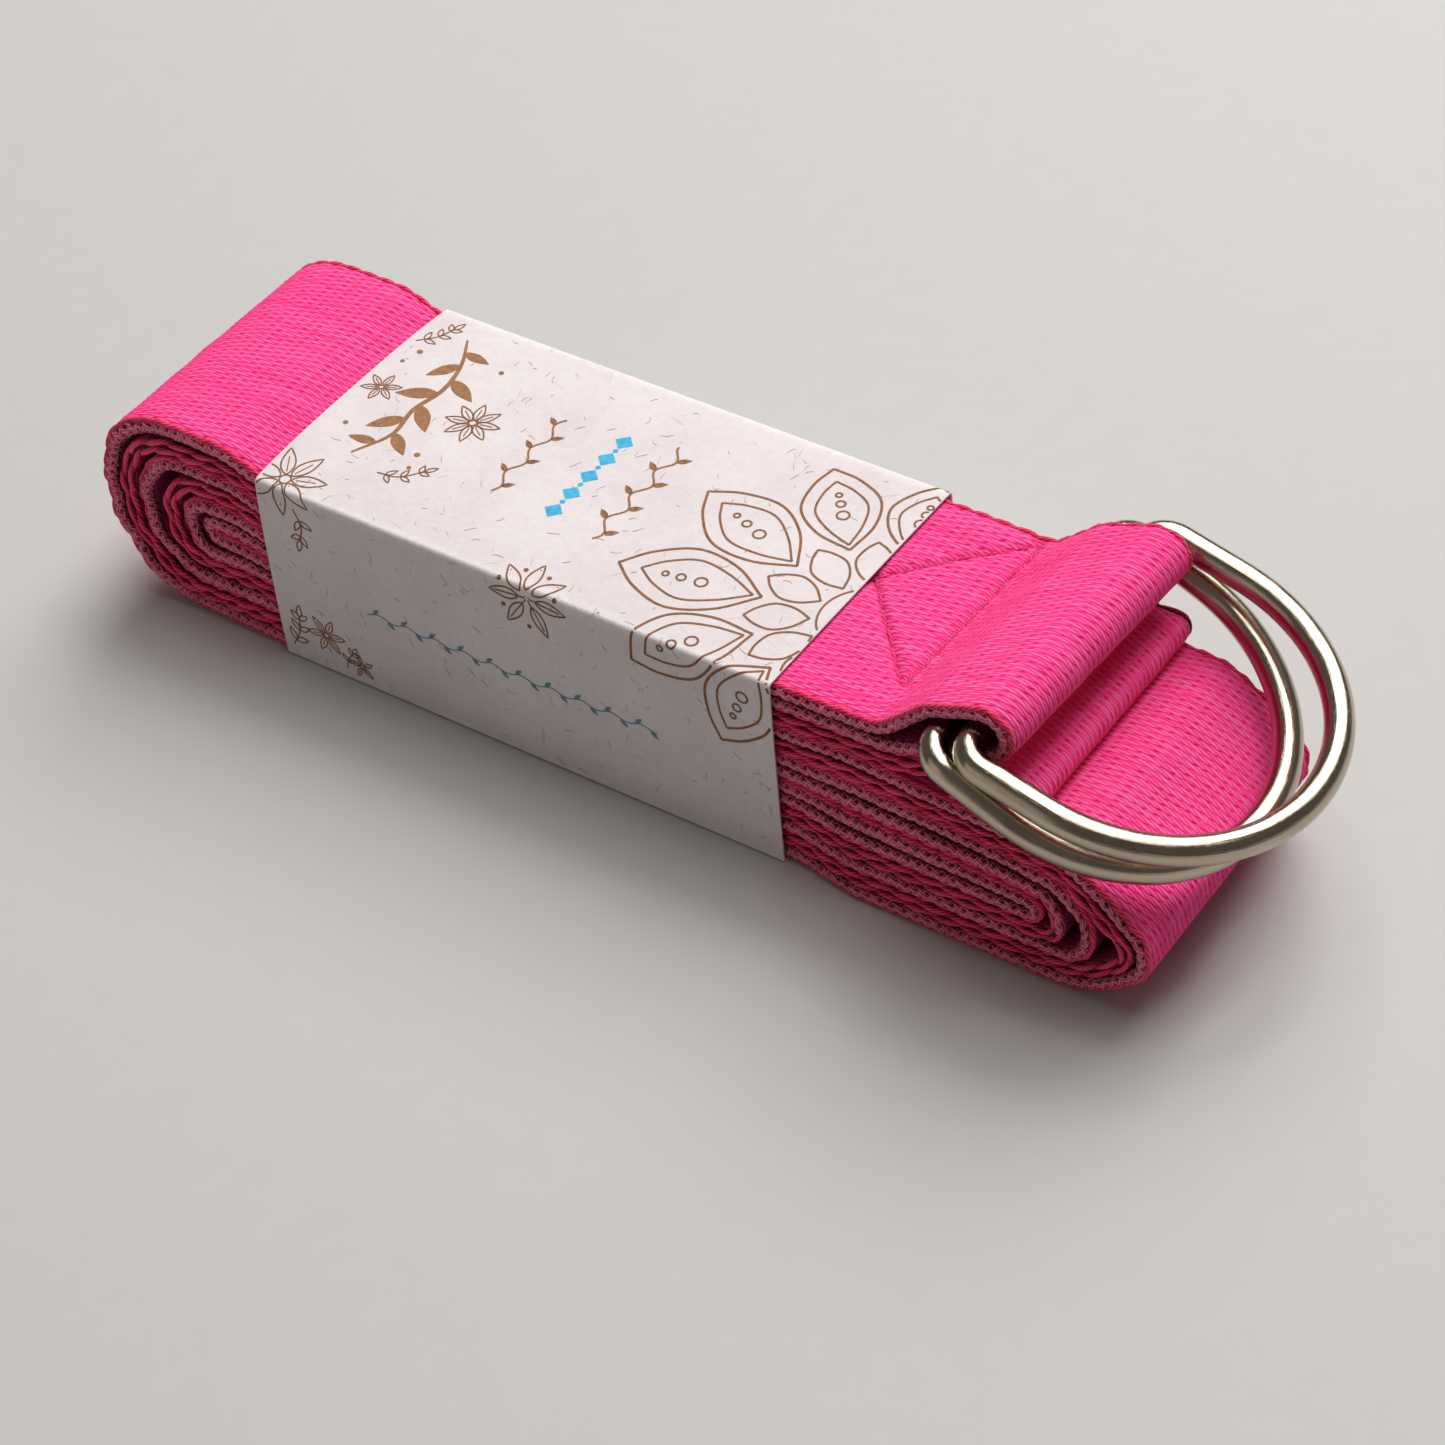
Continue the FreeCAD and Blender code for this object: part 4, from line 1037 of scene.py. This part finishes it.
def on_sleeve(x, t, lift):
    at = t_zero - np.asarray(t, float)
    y, z = np.interp(at, run_len, FLAT_LINE[:, 0]), np.interp(at, run_len, FLAT_LINE[:, 1])
    y1, z1 = np.interp(at + 0.05, run_len, FLAT_LINE[:, 0]), np.interp(at + 0.05, run_len, FLAT_LINE[:, 1])
    y0, z0 = np.interp(at - 0.05, run_len, FLAT_LINE[:, 0]), np.interp(at - 0.05, run_len, FLAT_LINE[:, 1])
    ty, tz = y1 - y0, z1 - z0
    n = np.hypot(ty, tz) + 1e-12
    # the strip runs over the top towards -Y, so its outside is to its right
    oy, oz = tz / n, -ty / n
    base = np.stack([np.asarray(x, float), y, z], -1)
    shaped = sleeve_shape(base)
    shaped[..., 1] += oy * lift
    shaped[..., 2] += oz * lift
    return shaped


def clip_x(pts):
    pts = np.asarray(pts, float)
    return pts[(pts[:, 0] > -SL + 0.15) & (pts[:, 0] < SL - 0.15)]


def spline(points, n=10, closed=False):
    p = np.asarray(points, float)
    if closed:
        p = np.concatenate([p[-1:], p, p[:2]])
    else:
        p = np.concatenate([2 * p[:1] - p[1:2], p, 2 * p[-1:] - p[-2:-1]])
    out = []
    for i in range(1, len(p) - 2):
        for k in range(n):
            t = k / n
            a, b, c, d = p[i - 1], p[i], p[i + 1], p[i + 2]
            out.append(0.5 * (2 * b + (c - a) * t + (2 * a - 5 * b + 4 * c - d) * t * t + (3 * b - a - 3 * c + d) * t ** 3))
    if not closed:
        out.append(p[-2])
    else:
        out.append(out[0])
    return np.array(out)


def ink_line(mesh, pts, width, taper=False):
    """A printed line: a very thin closed band on the paper."""
    pts = np.asarray(pts, float)
    inside = (pts[:, 0] > -SL + 0.12) & (pts[:, 0] < SL - 0.12)
    # split where it leaves the strip
    start = None
    for i in range(len(pts) + 1):
        on = i < len(pts) and inside[i]
        if on and start is None:
            start = i
        if not on and start is not None:
            if i - start >= 2:
                _band(mesh, pts[start:i], width, taper)
            start = None


def _band(mesh, p, width, taper):
    d = np.gradient(p, axis=0)
    d /= np.linalg.norm(d, axis=1)[:, None] + 1e-12
    side = np.stack([-d[:, 1], d[:, 0]], 1)
    n = len(p)
    w = np.full(n, width / 2.0)
    if taper:
        w = w * (0.35 + 0.65 * np.sin(np.linspace(0.12, PI - 0.12, n)) ** 0.8)
    a, b = p + side * w[:, None], p - side * w[:, None]
    top = [on_sleeve(q[:, 0], q[:, 1], 0.045) for q in (a, b)]
    low = [on_sleeve(q[:, 0], q[:, 1], -0.02) for q in (a, b)]
    pts = np.concatenate([top[0], top[1], low[0], low[1]])
    faces = []
    for i in range(n - 1):
        A, B, C, D_ = i, n + i, 2 * n + i, 3 * n + i
        faces += [(A, A + 1, B + 1, B), (C, D_, D_ + 1, C + 1), (A, C, C + 1, A + 1), (B, B + 1, D_ + 1, D_)]
    faces += [(0, n, 3 * n, 2 * n), (n - 1, 3 * n - 1, 4 * n - 1, 2 * n - 1)]
    mesh.add(pts, faces)


def ink_area(mesh, outline):
    """A printed filled shape, from its outline (convex or star-shaped about its middle)."""
    p = np.asarray(outline, float)
    if np.hypot(*(p[0] - p[-1])) < 1e-6:
        p = p[:-1]
    if (np.abs(p[:, 0]) > SL - 0.15).any():
        return
    n = len(p)
    c = p.mean(0)
    top = on_sleeve(np.append(p[:, 0], c[0]), np.append(p[:, 1], c[1]), 0.045)
    low = on_sleeve(np.append(p[:, 0], c[0]), np.append(p[:, 1], c[1]), -0.02)
    faces = []
    for i in range(n):
        j = (i + 1) % n
        faces += [(i, j, n), (n + 1 + j, n + 1 + i, 2 * n + 1), (j, i, n + 1 + i, n + 1 + j)]
    mesh.add(np.concatenate([top, low]), faces)


def circle(x, t, r, rt=None, n=20, rot=0.0):
    a = np.linspace(0, 2 * PI, n + 1)
    rt = r if rt is None else rt
    px, pt = r * np.cos(a), rt * np.sin(a)
    c, s_ = math.cos(rot), math.sin(rot)
    return np.stack([x + px * c - pt * s_, t + px * s_ + pt * c], 1)


def leaf(x, t, length, width, angle, n=14, tip=1.35):
    """A pointed leaf outline from its stalk end."""
    u = np.linspace(0, 1, n)
    w = width / 2 * np.sin(PI * u ** 0.85) ** 0.9 * (1 - 0.15 * u)
    up_, dn = np.stack([u * length, w], 1), np.stack([u[::-1] * length, -w[::-1]], 1)
    p = np.concatenate([up_, dn[1:]])
    c, s_ = math.cos(angle), math.sin(angle)
    return np.stack([x + p[:, 0] * c - p[:, 1] * s_, t + p[:, 0] * s_ + p[:, 1] * c], 1)


brown, tan, blue, slate, fibres = Mesh(), Mesh(), Mesh(), Mesh(), Mesh()


def petal(mesh, cx_, ct, start, length, width, angle, line_w=0.24, inner=True, dots=True):
    def at(u, v):
        c, s_ = math.cos(angle), math.sin(angle)
        return (cx_ + u * c - v * s_, ct + u * s_ + v * c)

    outline = [at(start, 0.0), at(start + 0.25 * length, width * 0.36), at(start + 0.55 * length, width * 0.5), at(start + 0.82 * length, width * 0.30),
               at(start + length, 0.0), at(start + 0.82 * length, -width * 0.30), at(start + 0.55 * length, -width * 0.5), at(start + 0.25 * length, -width * 0.36), at(start, 0.0)]
    left, right_ = spline(outline[:5], 8), spline(outline[4:], 8)
    ink_line(mesh, left, line_w)
    ink_line(mesh, right_, line_w)
    if inner:
        k = 0.72
        o2 = [at(start + 0.06 * length, 0.0), at(start + 0.27 * length, width * 0.30 * k), at(start + 0.50 * length, width * 0.46 * k), at(start + 0.70 * length, width * 0.28 * k),
              at(start + 0.84 * length, 0.0), at(start + 0.70 * length, -width * 0.28 * k), at(start + 0.50 * length, -width * 0.46 * k), at(start + 0.27 * length, -width * 0.30 * k), at(start + 0.06 * length, 0.0)]
        ink_line(mesh, spline(o2[:5], 8), line_w * 0.85)
        ink_line(mesh, spline(o2[4:], 8), line_w * 0.85)
    if dots:
        for u, r in ((0.42, 0.75), (0.56, 0.55), (0.67, 0.38)):
            x, t = at(start + u * length, 0.0)
            ink_line(mesh, circle(x, t, r), line_w * 0.8)


# large half flower growing in from the right end, over the top and down the near side
fc = (40.5, 14.0)
for angle, length, width, start in ((101, 12.5, 8.6, 12.6), (130, 15.0, 9.4, 12.6), (160, 17.5, 10.2, 12.6), (190, 18.0, 10.4, 12.6), (219, 16.5, 9.8, 12.6), (247, 15.0, 9.0, 12.6)):
    petal(brown, fc[0], fc[1], start, length, width, math.radians(angle), line_w=0.34)
for angle in (115.5, 145, 175, 204.5, 233, 260):
    petal(brown, fc[0], fc[1], 6.2, 7.6, 4.4, math.radians(angle), inner=False, dots=False, line_w=0.30)
for r in (3.4, 5.4):
    ink_line(brown, np.stack([fc[0] + r * np.cos(np.radians(np.arange(85, 281, 5))), fc[1] + r * np.sin(np.radians(np.arange(85, 281, 5)))], 1), 0.28)


def flower(mesh, x, t, r, petals, turn, w=0.2):
    for k in range(petals):
        a = turn + 2 * PI * k / petals
        ink_line(mesh, leaf(x + 0.18 * r * math.cos(a), t + 0.18 * r * math.sin(a), r, r * 0.42, a), w)
        ink_line(mesh, [(x + 0.3 * r * math.cos(a), t + 0.3 * r * math.sin(a)), (x + 0.85 * r * math.cos(a), t + 0.85 * r * math.sin(a))], w * 0.7)
    ink_line(mesh, circle(x, t, 0.16 * r), w)


def sprig(mesh, pts, leaves, size, w=0.2, both=True, filled=False):
    p = spline(pts, 10)
    ink_line(mesh, p, w)
    d = np.gradient(p, axis=0)
    for k in range(leaves):
        i = int((k + 0.7) / leaves * (len(p) - 1))
        a = math.atan2(d[i][1], d[i][0])
        for sgn in ((1, -1) if both else ((1,) if k % 2 else (-1,))):
            o = leaf(p[i][0], p[i][1], size * (1 - 0.25 * k / leaves), size * 0.42, a + sgn * 0.85)
            (ink_area if filled else lambda m_, q: ink_line(m_, q, w))(mesh, o)
    i = len(p) - 1
    a = math.atan2(d[i][1], d[i][0])
    o = leaf(p[i][0], p[i][1], size, size * 0.42, a)
    (ink_area if filled else lambda m_, q: ink_line(m_, q, w))(mesh, o)


# flower at the left end, over the near crease
flower(brown, -33.6, 1.6, 4.6, 7, 0.3)
sprig(brown, [(-31.5, -2.2), (-30.6, -4.6), (-31.2, -7.0)], 2, 1.9, 0.18)
# leaf sprig over the near crease, right of the middle
for a in (-0.1, 0.75, 1.6, 2.4, 3.25, 4.1, 5.2):
    ink_line(brown, leaf(3.4 + 1.2 * math.cos(a), -1.4 + 1.2 * math.sin(a), 4.3, 1.7, a), 0.22)
    ink_line(brown, [(3.4 + 0.3 * math.cos(a), -1.4 + 0.3 * math.sin(a)), (3.4 + 4.6 * math.cos(a), -1.4 + 4.6 * math.sin(a))], 0.2)
for a in (0.3, 1.2, 2.0, 2.8, 3.7, 4.7):
    ink_area(brown, circle(3.4 + 4.2 * math.cos(a), -1.4 + 4.2 * math.sin(a), 0.32, n=9))
# small sprigs low on the near side
sprig(brown, [(-35.6, -25.5), (-34.2, -22.8), (-33.8, -20.2)], 3, 2.0, 0.18)
flower(brown, -29.8, -21.6, 2.5, 6, 0.1, 0.17)
flower(brown, -24.8, -24.6, 1.7, 5, 0.5, 0.16)
sprig(brown, [(-27.3, -25.8), (-26.8, -24.2), (-25.9, -22.9)], 2, 1.3, 0.16)

# a bold spray of leaves where the sleeve carries its main ornament
spine = spline([(-30.6, 34.0), (-28.2, 29.5), (-27.2, 24.5), (-28.0, 19.5), (-27.4, 14.5), (-29.6, 9.4)], 12)
ink_line(tan, spine, 0.62, taper=True)
for k, (i, sgn, size) in enumerate(((6, 1, 4.0), (12, -1, 4.6), (19, 1, 5.2), (26, -1, 5.4), (33, 1, 5.4), (40, -1, 5.0), (47, 1, 4.6), (53, -1, 3.8))):
    d_ = spine[min(i + 1, len(spine) - 1)] - spine[i - 1]
    a_ = math.atan2(d_[1], d_[0]) + sgn * 0.95
    ink_area(tan, leaf(spine[i][0], spine[i][1], size, size * 0.40, a_))
for (x, t, r) in ((-34.2, 29.0, 0.4), (-34.9, 26.4, 0.3), (-22.4, 13.0, 0.4), (-21.8, 10.6, 0.3), (-33.6, 13.4, 0.35), (-23.0, 30.8, 0.35)):
    ink_area(tan, circle(x, t, r, n=12))
flower(brown, -20.2, 21.2, 3.1, 8, 0.2, 0.2)
flower(brown, -34.0, 21.0, 2.2, 6, 0.5, 0.18)
sprig(brown, [(-36.0, 30.5), (-34.2, 32.6), (-33.4, 35.0)], 3, 1.7, 0.18)
sprig(brown, [(-24.6, 8.0), (-21.8, 8.6), (-19.6, 11.0)], 3, 1.6, 0.18)


def vine(mesh, x, t0, t1, wave, amp, w, size):
    """A running stem across the strip with a leaf at each bend."""
    t = np.linspace(t0, t1, 60)
    px = x + amp * np.sin(2 * PI * (t - t0) / wave)
    ink_line(mesh, np.stack([px, t], 1), w)
    k = 0
    at = t0 + wave / 4
    while at < t1 - 0.3:
        sgn = 1 if k % 2 == 0 else -1
        ink_area(mesh, leaf(x + amp * sgn, at, size, size * 0.46, PI / 2 - sgn * 0.9))
        ink_area(mesh, leaf(x + amp * sgn, at, size * 0.8, size * 0.38, -PI / 2 + sgn * 2.4 if sgn > 0 else -PI / 2 - 2.4))
        at += wave / 2
        k += 1


vine(tan, 5.2, 10.6, 29.4, 5.0, 0.7, 0.30, 1.9)
vine(tan, -10.6, 12.0, 27.2, 5.0, 0.6, 0.28, 1.7)
for k in range(5):                                  # blue row of lozenges and dots
    t = 12.6 + k * 3.6
    ink_area(blue, [(-3.1, t), (-1.8, t + 1.3), (-0.5, t), (-1.8, t - 1.3)])
    if k < 4:
        ink_area(blue, circle(-1.8, t + 1.8, 0.36, n=10))
# a fine garland along the near side
gx = np.linspace(-22.3, 20.4, 160)
ink_line(slate, np.stack([gx, -14.6 + 0.28 * np.sin(2 * PI * gx / 4.3)], 1), 0.14)
for k in range(20):
    x = -21.3 + k * 2.15
    sgn = 1 if k % 2 == 0 else -1
    ink_area(slate, leaf(x, -14.6 + 0.2 * sgn, 1.35, 0.62, sgn * 0.75))

# plant fibres in the paper, mostly pale brown, bent like short hairs
for k in range(260):
    x, t = rng.uniform(-SL + 1, SL - 1), rng.uniform(-26.0, 37.0)
    a, length, bend_ = rng.uniform(0, 2 * PI), rng.uniform(0.5, 2.0), rng.uniform(-1.6, 1.6)
    u = np.linspace(-0.5, 0.5, 6)
    ang = a + bend_ * u
    p = np.stack([x + np.cumsum(np.cos(ang)) * length / 6, t + np.cumsum(np.sin(ang)) * length / 6], 1)
    ink_line(fibres, p, rng.uniform(0.045, 0.085), taper=True)

prints = []
for mesh, name, material in ((brown, "print_lines_brown", INK_BROWN), (tan, "print_scroll_tan", INK_TAN), (blue, "print_row_blue", INK_BLUE),
                             (slate, "print_side_row", INK_SLATE), (fibres, "paper_plant_fibres", INK_FIBRE)):
    o = mesh.make(name, material, flat=True)
    b_ = bmesh.new()
    b_.from_mesh(o.data)
    bmesh.ops.recalc_face_normals(b_, faces=b_.faces)
    b_.to_mesh(o.data)
    b_.free()
    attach(o, "sleeve")
    prints.append(o)

# ==========================================================================
# Floor, light, camera
# ==========================================================================
floor_mesh = bpy.data.meshes.new("floor")
floor_mesh.from_pydata([(-3, -3, 0), (3, -3, 0), (3, 3, 0), (-3, 3, 0)], [], [(0, 1, 2, 3)])
floor = bpy.data.objects.new("floor", floor_mesh)
bpy.context.scene.collection.objects.link(floor)
fm = Nodes("floor_plain")
fn = fm.noise(fm.coords(), 220.0, 3.0, 0.55)
floor_mesh.materials.append(fm.set(Base_Color=fm.ramp(fn, [(0.3, (0.508, 0.503, 0.495)), (0.7, (0.516, 0.511, 0.503))]), Roughness=0.62, Specular_IOR_Level=0.25))

scene = bpy.context.scene
world = bpy.data.worlds.new("studio")
scene.world = world
world.use_nodes = True
world.node_tree.nodes["Background"].inputs[0].default_value = (1.0, 0.93, 0.88, 1.0)
world.node_tree.nodes["Background"].inputs[1].default_value = 0.12


def area(name, location, target, size, energy, colour=(1, 1, 1), size_y=None):
    data = bpy.data.lights.new(name, "AREA")
    data.shape = "RECTANGLE"
    data.size = size
    data.size_y = size_y or size
    data.energy = energy
    data.color = colour
    obj = bpy.data.objects.new(name, data)
    scene.collection.objects.link(obj)
    obj.location = location
    obj.rotation_mode = "QUATERNION"
    obj.rotation_quaternion = (Vector(target) - Vector(location)).to_track_quat("-Z", "Y")
    return obj


area("window_back", (-0.08, 0.75, 0.95), (0.0, 0.0, 0.02), 0.9, 14.0, (1.0, 0.985, 0.965))
area("top_soft", (0.12, 0.22, 1.10), (0.01, 0.0, 0.0), 0.7, 6.2, (1.0, 0.99, 0.98))
area("front_fill", (-0.35, -1.0, 0.35), (0.0, 0.0, 0.02), 0.8, 0.75, (1.0, 0.88, 0.82))

cam_data = bpy.data.cameras.new("camera")
cam = bpy.data.objects.new("camera", cam_data)
scene.collection.objects.link(cam)
az, el, roll = math.radians(38.093), math.radians(42.679), math.radians(-5.755)
back_v = np.array([math.sin(az) * math.cos(el), -math.cos(az) * math.cos(el), math.sin(el)])
right0 = np.array([math.cos(az), math.sin(az), 0.0])
up0 = np.cross(back_v, right0)
right_v = math.cos(roll) * right0 + math.sin(roll) * up0
up_v = -math.sin(roll) * right0 + math.cos(roll) * up0
eye = (right_v * 12.599 + up_v * -8.254 + back_v * 471.062 + np.array([-SHIFT, 0.0, 0.9])) * 0.001
cam.matrix_world = Matrix([[right_v[i], up_v[i], back_v[i], eye[i]] for i in range(3)] + [[0, 0, 0, 1]])
cam_data.sensor_width = 36.0
cam_data.sensor_fit = "HORIZONTAL"
cam_data.lens = 3837.452 / 1445 * 36.0
cam_data.clip_start, cam_data.clip_end = 0.01, 20.0
scene.camera = cam
scene.view_settings.view_transform = "Standard"
scene.view_settings.look = "None"
scene.view_settings.exposure = 0.0
scene.view_settings.gamma = 1.0

bpy.context.view_layer.update()
